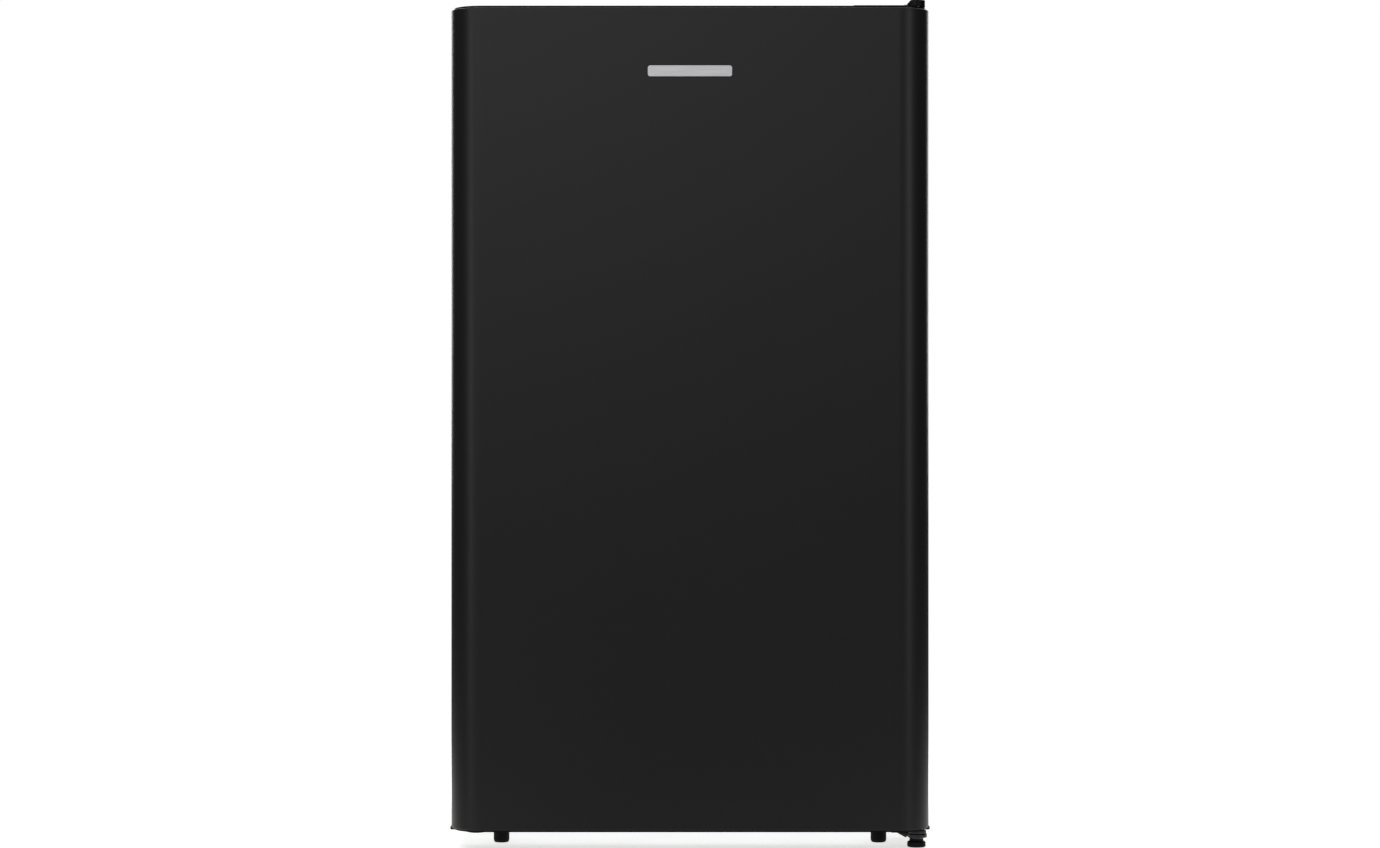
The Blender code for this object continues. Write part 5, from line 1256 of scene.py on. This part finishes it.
@dataclass
class Feet:
    """Two levelling feet at the front, the hinge's own foot and two fixed rear feet."""

    ribs: int = 24
    rib_depth: float = 0.35 * MM
    bore: float = 4.4 * MM
    bore_floor: float = 3.2 * MM
    rear_neck: float = 4.6 * MM

    def build(self) -> None:
        """Turns every foot."""
        front = ((0, 0), (6.2, 0), (7.2, 0.5), (7.6, 1.4), (7.6, 2.0), (8, 2.4), (8, 13.2), (7.4, 14.0))
        hinge = ((0, 0), (8.1, 0), (9.0, 0.5), (9.3, 1.2), (9.3, 4.6), (8.6, 5.6), (7.2, 6.3))
        hinge += ((7, 6.8), (7, 10.6), (6.6, 11.1))
        rear = ((0, 0), (9.4, 0), (10.6, 0.5), (11, 1.6), (11, 12.6), (10.4, 14.4), (4.6, 14.5))
        for node, body, rim, outline in (
            ("front_foot_left", Body.FOOT_LEFT, 8 * MM, front),
            ("front_foot_right", Body.FOOT_RIGHT, 8 * MM, front),
            ("hinge_foot", Body.HINGE_FOOT, 9.3 * MM, hinge),
            ("rear_foot_left", Body.CABINET, 11 * MM, rear),
            ("rear_foot_right", Body.CABINET, 11 * MM, rear),
        ):
            self.build_foot(node, body, rim, outline)

    def build_foot(
        self, node: str, body: Body, radius: float, outline: Sequence[tuple[float, float]]
    ) -> None:
        """Turns one foot, with grip ribs round its rim.

        Args:
            node: The frame's node.
            body: The body it rides on.
            radius: The rim's radius.
            outline: Its outer profile in millimetres, from the middle of the sole upwards.
        """
        low, high = corners(node)
        middle = (low + high) / 2
        top = high.z - low.z
        profile = [(r * MM, min(h * MM, top)) for r, h in outline]
        if body is not Body.CABINET:
            profile += [(self.bore, top), (self.bore, self.bore_floor), (0, self.bore_floor)]
        else:
            profile += [(self.rear_neck, top), (0, top)]
        form = lathe(profile, (middle.x, middle.y, low.z), steps=self.ribs * 2)
        flute(form, middle, radius - 0.05 * MM, self.ribs, self.rib_depth)
        place(f"{node}_moulding", form, BLACK_PP, body, [node])


# ================================================================ cabinet
@dataclass
class Cabinet:
    """The painted wrapper, the back panel, the base, the foam and the cabin's liner."""

    screw_radius: float = 4.2 * MM
    screw_inset: tuple[float, float] = (12 * MM, 14 * MM)
    bead_insets: tuple[float, ...] = (26 * MM, 60 * MM)
    bead_corner: float = 14 * MM
    bead_half: float = 3.5 * MM
    bead_rise: float = 0.9 * MM
    rail_front: float = -0.15
    hem_start: float = 0.2385

    def build(self) -> None:
        """Builds the cabinet's pieces."""
        trace_all(
            [
                ("cabinet_insulation", "cabinet_foam", FOAM, Body.CABINET, "insulating_foam", 0.0),
                ("compressor_shelf", "compressor_carrier", GALVANISED, Body.CABINET, "galvanised_steel", 0.3),
                ("drain_spout", "drain_tube", WHITE_MOULDED, Body.CABINET, "white_plastic", 0.2),
                ("painted_wrapper", "outer_shell", PAINT, Body.CABINET, "black_steel", 0.35),
                ("cabin_liner", "inner_liner", WHITE_LINER, Body.CABINET, "white_plastic", 0.6),
                ("rear_sheet", "back_panel", GALVANISED, Body.CABINET, "galvanised_steel", 0.2),
            ]
        )
        place(
            "base_tray",
            traced("base_pan", 0.25 * MM, 2),
            GALVANISED,
            Body.CABINET,
            ["base_pan"],
            accent=BLACK_ENAMEL,
            accent_where=lambda mid, normal: abs(mid.x) > self.hem_start or mid.y < self.rail_front,
        )
        self.build_back()

    def build_back(self) -> None:
        """Drives the back panel's screws and presses two stiffening beads into it."""
        low, high = corners("back_panel")
        screws = Form()
        across, up = self.screw_inset
        for x in (low.x + across, high.x - across):
            for z in (low.z + up, (low.z + high.z) / 2, high.z - up):
                screws.join(hex_screw((x, high.y, z), self.screw_radius, Axis.Y, 1))
        place("rear_sheet_screws", screws, ZINC_PLATE, Body.CABINET)
        beads = Form()
        for inset in self.bead_insets:
            line = rounded_line(low, high, inset, self.bead_corner)
            beads.join(bead([(x, high.y, z) for x, z in line], self.bead_half, self.bead_rise, Axis.Y))
        place("rear_sheet_beads", beads, GALVANISED, Body.CABINET)


# ================================================================ cabin fittings
@dataclass
class Cabin:
    """The shelves, the crisper, the freezing box, the drip tray and the thermostat."""

    channel_half: float = 5 * MM
    channel_margin: float = 22 * MM
    channel_front: float = 16 * MM
    channel_back: float = 14 * MM
    channel_rise: float = 1.4 * MM
    channel_lanes: int = 9
    plate_sheet: float = 1.6 * MM
    hanger: float = 10.7 * MM
    dial_radius: float = 22.5 * MM
    dial_start: float = 210.0
    dial_pitch: float = 48.0
    dial_marks: int = 6
    figure_height: float = 4.2 * MM
    figure_depth: float = 0.12 * MM
    lens_flutes: int = 9
    lens_border: float = 4 * MM
    lens_side: float = 5 * MM
    cap_radius: float = 8 * MM
    neck_radius: float = 7.4 * MM

    def build(self) -> None:
        """Builds the fittings."""
        white = "white_plastic"
        for body in (Body.LOWER_SHELF, Body.UPPER_SHELF):
            self.build_glass(body.value, body)
        self.build_glass("crisper_cover", Body.CABINET)
        trace_all(
            [
                ("lower_shelf_edging", "lower_shelf_trim", WHITE_MOULDED, Body.LOWER_SHELF, white, 0.5),
                ("upper_shelf_edging", "upper_shelf_trim", WHITE_MOULDED, Body.UPPER_SHELF, white, 0.5),
                ("clear_crisper", "crisper_drawer", CLEAR_PLASTIC, Body.CRISPER, "clear_plastic", 0.9),
                ("freezing_box_frame", "icebox_frame", WHITE_MOULDED, Body.CABINET, white, 0.8),
                ("freezing_box_flap", "icebox_flap", WHITE_MOULDED, Body.FLAP, white, 1.0),
                ("moulded_drip_tray", "drip_tray", WHITE_MOULDED, Body.DRIP_TRAY, white, 0.8),
                ("control_knob", "thermostat_knob", WHITE_MOULDED, Body.KNOB, white, 0.5),
            ],
            3,
        )
        trace_all([("control_housing", "thermostat_housing", WHITE_MOULDED, Body.CABINET, white, 0.3)])
        self.build_freezing_box()
        self.build_dial()
        self.build_lamp()

    def build_freezing_box(self) -> None:
        """Folds the roll-bond plate and blows up its channels, inside its floor and on its top."""
        trace_all([("freezing_box", "evaporator", ALUMINIUM, Body.CABINET, "aluminium", 0.4)])
        low, high = corners("evaporator")
        # the plate's top face; its hangers reach higher, up to the frame
        top = corners("icebox_frame")[1].z - self.hanger
        left, right = low.x + self.channel_margin, high.x - self.channel_margin
        front, back = low.y + self.channel_front, high.y - self.channel_back
        lanes = self.channel_lanes
        path = serpentine(left, right, [front + (back - front) * i / (lanes - 1) for i in range(lanes)])
        channels = Form()
        for height in (low.z + self.plate_sheet, top):
            run = [(x, y, height) for x, y in path]
            channels.join(bead(run, self.channel_half, self.channel_rise, Axis.Z))
        place("freezing_box_channels", channels, ALUMINIUM, Body.CABINET)

    def build_dial(self) -> None:
        """Raises the numbers round the knob."""
        low, high = corners("thermostat_knob")
        middle = (low + high) / 2
        face = corners("thermostat_housing")[0].x
        marks = Form()
        for number in range(self.dial_marks):
            turn = math.radians(self.dial_start - self.dial_pitch * number)
            y = middle.y - self.dial_radius * math.cos(turn)
            z = middle.z + self.dial_radius * math.sin(turn)
            mark = figure(str(number), self.figure_height, self.figure_depth)
            marks.join(mark.move((face, y, z)))
        place("dial_numbers", marks, DIAL_INK, Body.CABINET)

    def build_lamp(self) -> None:
        """Moulds the lens with upright flutes and blows the bulb."""
        low, high = corners("lamp_cover")
        lens = traced("lamp_cover", 0.3 * MM, 2)
        border, margin = self.lens_border, self.lens_side
        pitch = (high.y - low.y - 2 * margin) / self.lens_flutes
        length, half = high.z - low.z - 2 * border, pitch * 0.42
        for i in range(self.lens_flutes):
            spot = (low.x + 0.5 * MM, low.y + margin + pitch * (i + 0.5), low.z + border)
            rib = [(0, 0), (half, 0.6 * MM), (half, length - 0.6 * MM), (0, length)]
            lens.join(lathe(rib, spot, steps=12, scale=(0.35, 1.0, 1.0)))
        place("lamp_lens", lens, CLEAR_PLASTIC, Body.CABINET, ["lamp_cover"])
        low, high = corners("lamp_bulb")
        radius, length = (high.z - low.z) / 2, high.y - low.y
        cap, neck = self.cap_radius, self.neck_radius
        globe = [(0, 0), (cap, 0), (cap, 12 * MM), (neck, 14 * MM), (neck, 18 * MM)]
        for k in range(13):
            turn = math.radians(-48 + 138 * k / 12)
            globe.append((radius * math.cos(turn), length - radius + radius * math.sin(turn)))
        globe[-1] = (0, length)
        form = lathe(globe, ((low.x + high.x) / 2, low.y, (low.z + high.z) / 2), Axis.Y)
        place("lamp_globe", form, BULB_GLASS, Body.CABINET, ["lamp_bulb"])

    def build_glass(self, node: str, body: Body) -> None:
        """Cuts one pane, with ground green edges."""
        form = slab(*corners(node), Axis.Z, 3 * MM, 0.6 * MM)
        place(
            f"{node}_pane",
            form,
            GLASS,
            body,
            [node],
            accent=GLASS_EDGE,
            accent_where=lambda mid, normal: abs(normal.z) < 0.9,
        )


# ================================================================ cooling circuit
@dataclass
class Cooling:
    """The compressor and its fittings, the pipes and the condenser."""

    can_radius: float = 56 * MM
    can_stretch: float = 1.25
    seam_drop: float = 58 * MM
    seam_rise: float = 2.5 * MM
    discharge_radius: float = 2.4 * MM
    suction_radius: float = 3.1 * MM
    passes: int = 13
    wires: int = 37
    wire_radius: float = 0.8 * MM
    wire_margin: float = 14 * MM
    strap_above: float = 30.4 * MM
    strap_below: float = 34.4 * MM
    strap_height: float = 12 * MM
    strap_sheet: float = 2.4 * MM
    strap_step: float = 0.6 * MM

    def build(self) -> None:
        """Builds the circuit."""
        self.build_compressor()
        self.build_relay()
        self.build_drier()
        self.build_pipes()
        self.build_coil()
        self.build_grid()
        trace_all(
            [
                ("evaporating_dish", "evaporating_tray", BLACK_PP, Body.CABINET, "black_plastic", 0.6),
                ("lead_gland", "cord_gland", BLACK_ABS, Body.CABINET, "black_plastic", 0.3),
            ]
        )

    def build_compressor(self) -> None:
        """Draws the two halves of the can, welds them, and stands them on their plate and rubber mounts."""
        low, high = corners("compressor")
        centre = (low + high) / 2
        radius, lip = self.can_radius, self.can_radius + self.seam_rise
        base, top, seam = low.z + 1 * MM, high.z, high.z - self.seam_drop
        profile = [(0, base), (radius - 22 * MM, base)]
        profile += self.sweep(radius - 22 * MM, base + 24 * MM, 22 * MM, 24 * MM, -80, 0)
        profile += [(radius, seam - 4 * MM), (lip - 0.5 * MM, seam - 3 * MM), (lip, seam - 2.4 * MM)]
        profile += [(lip, seam + 2.4 * MM), (lip - 0.6 * MM, seam + 3 * MM)]
        profile += [(radius - 1.5 * MM, seam + 3.2 * MM)]
        profile += self.sweep(0, top - 40 * MM, radius - 1.6 * MM, 40 * MM, 0, 90, 18)
        profile[-1] = (0, top)
        form = lathe(profile, (centre.x, centre.y, 0), steps=96, scale=(self.can_stretch, 1, 1))
        plate = slab((low.x, low.y, low.z), (high.x, high.y, low.z + 2.5 * MM), Axis.Z, 8 * MM, 0.5 * MM)
        form.join(plate)
        place("sealed_compressor", form, BLACK_ENAMEL, Body.CABINET, ["compressor"])
        for i in range(1, 5):
            low, high = corners(f"grommet_{i}")
            middle, rise = (low + high) / 2, high.z - low.z
            mount = [(0, 0), (8.4, 0), (9.2, 0.6), (10, 2.6), (9.9, 3.6), (9.2, 6), (8.2, 9), (9, 11.2)]
            mount += [(5.4, 11.2), (5.4, 14), (7.5, 14.4)]
            rings = [(r * MM, h * MM) for r, h in mount]
            rings += [(7.2 * MM, rise - 0.6 * MM), (6.2 * MM, rise), (0, rise)]
            form = lathe(rings, (middle.x, middle.y, low.z))
            place(f"rubber_mount_{i}", form, RUBBER, Body.CABINET, [f"grommet_{i}"])

    @staticmethod
    def sweep(
        x: float, z: float, across: float, up: float, start: float, end: float, steps: int = 10
    ) -> list[tuple[float, float]]:
        """Lists the points of an elliptical arc of a profile.

        Args:
            x: The radius at its centre.
            z: The height of its centre.
            across: Its half width.
            up: Its half height.
            start: Its first angle in degrees.
            end: Its last angle.
            steps: The number of steps along it.

        Returns:
            The (radius, height) points.
        """
        turns = [math.radians(start + (end - start) * i / steps) for i in range(steps + 1)]
        return [(x + across * math.cos(t), z + up * math.sin(t)) for t in turns]

    def build_relay(self) -> None:
        """Moulds the relay's cover, with a raised lid and side."""
        low, high = corners("relay_box")
        form = slab(low, (high.x, high.y - 1.6 * MM, high.z), Axis.X, 4 * MM, 1 * MM)
        lid_low = (low.x + 3 * MM, high.y - 2.2 * MM, low.z + 6 * MM)
        lid = slab(lid_low, (high.x - 3 * MM, high.y, high.z - 6 * MM), Axis.Y, 3 * MM, 0.5 * MM)
        side_high = (low.x + 2 * MM, high.y - 8 * MM, high.z - 8 * MM)
        side = slab((low.x, low.y + 6 * MM, low.z + 8 * MM), side_high, Axis.X, 3 * MM, 0.4 * MM)
        form.join(lid, side)
        place("relay_cover", form, BLACK_ABS, Body.CABINET, ["relay_box"])

    def build_drier(self) -> None:
        """Spins the copper drier's shoulders and necks."""
        low, high = corners("filter_drier")
        middle = (low + high) / 2
        outline = [(0, 0), (2.6, 0), (2.7, 4), (3.1, 6.2), (4.6, 8.2), (6.6, 10.2), (7.7, 11.8), (8, 13.6)]
        outline += [(8, 30), (7.7, 30.6), (7.7, 31.6), (8, 32.2), (8, 71), (7.7, 74), (6.2, 77)]
        outline += [(4.2, 79.8), (3.1, 82), (2.7, 85), (2.6, 88), (0, 88)]
        form = lathe([(r * MM, h * MM) for r, h in outline], (middle.x, middle.y, low.z))
        place("copper_drier", form, COPPER, Body.CABINET, ["filter_drier"])

    def beside_can(self, angle: float, away: float) -> tuple[float, float]:
        """Returns a point beside the can, seen from above, at an angle in degrees and a distance off it."""
        low, high = corners("compressor")
        centre, turn = (low + high) / 2, math.radians(angle)
        across, along = self.can_radius * self.can_stretch + away, self.can_radius + away
        return centre.x + across * math.cos(turn), centre.y + along * math.sin(turn)

    def build_pipes(self) -> None:
        """Bends the discharge pipe to the condenser and the suction pipe from the cabin."""
        low, high = corners("compressor")
        centre = (low + high) / 2
        side = centre.x + self.can_radius * self.can_stretch
        bay_top = corners("base_pan")[1].z
        back = corners("back_panel")[1].y
        coil_low, coil_high = corners("condenser_coil")
        radius = (coil_high.y - coil_low.y) / 2
        depth, half = (coil_low.y + coil_high.y) / 2, (coil_high.x - coil_low.x) / 2 - radius
        first = coil_low.z + radius
        discharge = [
            (side + 1 * MM, centre.y - 7 * MM, bay_top - 71 * MM),
            (side + 14 * MM, centre.y - 7 * MM, bay_top - 69 * MM),
            (side + 24 * MM, centre.y + 3 * MM, bay_top - 55 * MM),
            (side + 28 * MM, centre.y + 28 * MM, bay_top - 35 * MM),
            (side + 34 * MM, back - 4 * MM, bay_top - 24 * MM),
            (half - 40 * MM, back + 14 * MM, bay_top - 17 * MM),
            (half - 4 * MM, depth, bay_top - 4 * MM),
            (half + 6 * MM, depth, first - 8 * MM),
        ]
        suction = [
            (*self.beside_can(212, 1.5 * MM), bay_top - 73 * MM),
            (*self.beside_can(212, 9 * MM), bay_top - 70 * MM),
            (*self.beside_can(209, 26 * MM), bay_top - 56 * MM),
            (*self.beside_can(205, 46 * MM), bay_top - 44 * MM),
            (*self.beside_can(202, 52 * MM), bay_top - 30 * MM),
            (*self.beside_can(202, 53 * MM), bay_top - 1.8 * MM),
        ]
        form = tube("discharge", [smooth_route(discharge)], self.discharge_radius, 4)
        place("discharge_tube", form, BLACK_ENAMEL, Body.CABINET, ["discharge_pipe"])
        form = tube("suction", [smooth_route(suction)], self.suction_radius, 4)
        place("suction_tube", form, COPPER, Body.CABINET, ["suction_pipe"])

    def build_coil(self) -> None:
        """Bends the condenser's tube."""
        low, high = corners("condenser_coil")
        radius = (high.y - low.y) / 2
        depth = (low.y + high.y) / 2
        first, last = low.z + radius, high.z - radius
        levels = [first + (last - first) * i / (self.passes - 1) for i in range(self.passes)]
        route = serpentine(low.x + radius, high.x - radius, levels)
        form = tube("coil", [[(x, depth, z) for x, z in route]], radius, 3)
        place("condenser_tube", form, BLACK_ENAMEL, Body.CABINET, ["condenser_coil"])

    def build_grid(self) -> None:
        """Welds upright wires to both sides of the tube and hangs them on two straps."""
        low, high = corners("condenser_grid")
        coil_low, coil_high = corners("condenser_coil")
        half = (coil_high.x - coil_low.x) / 2 - self.wire_margin - (coil_high.y - coil_low.y) / 2
        runs = []
        for i in range(self.wires):
            x = -half + 2 * half * i / (self.wires - 1)
            for y in (coil_low.y - self.wire_radius, coil_high.y + self.wire_radius):
                runs.append([(x, y, low.z), (x, y, high.z)])
        wires = tube("wires", runs, self.wire_radius, 1)
        place("condenser_wires", wires, BLACK_ENAMEL, Body.CABINET)
        straps = Form()
        panel = corners("back_panel")[1].y
        front, back = high.y - 1.9 * MM, high.y - 0.1 * MM
        for base in (coil_low.z + self.strap_above, coil_high.z - self.strap_below):
            top = base + self.strap_height
            straps.join(slab((low.x, front, base), (high.x, back, top), Axis.Y, 3 * MM, 0.3 * MM))
            for x in (low.x, high.x - self.strap_sheet):
                leg_low = (x, panel + 0.1 * MM, base + self.strap_step)
                leg_high = (x + self.strap_sheet, high.y - 0.4 * MM, top - self.strap_step)
                straps.join(slab(leg_low, leg_high, Axis.Y, 0, 0.4 * MM))
        place("condenser_straps", straps, BLACK_ENAMEL, Body.CABINET, ["condenser_grid"])


def main() -> None:
    """Builds the fridge, piece by piece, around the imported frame."""
    logging.basicConfig(level=logging.INFO, format="%(name)s %(message)s")
    for leftover in list(bpy.data.objects):
        bpy.data.objects.remove(leftover)
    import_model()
    Stage().build(corners("door_skin")[0].y)
    for assembly in (Door(), DoorLining(), Hinges(), Feet(), Cabinet(), Cabin(), Cooling()):
        log.info("building %s", type(assembly).__name__)
        assembly.build()


if __name__ == "__main__":
    main()
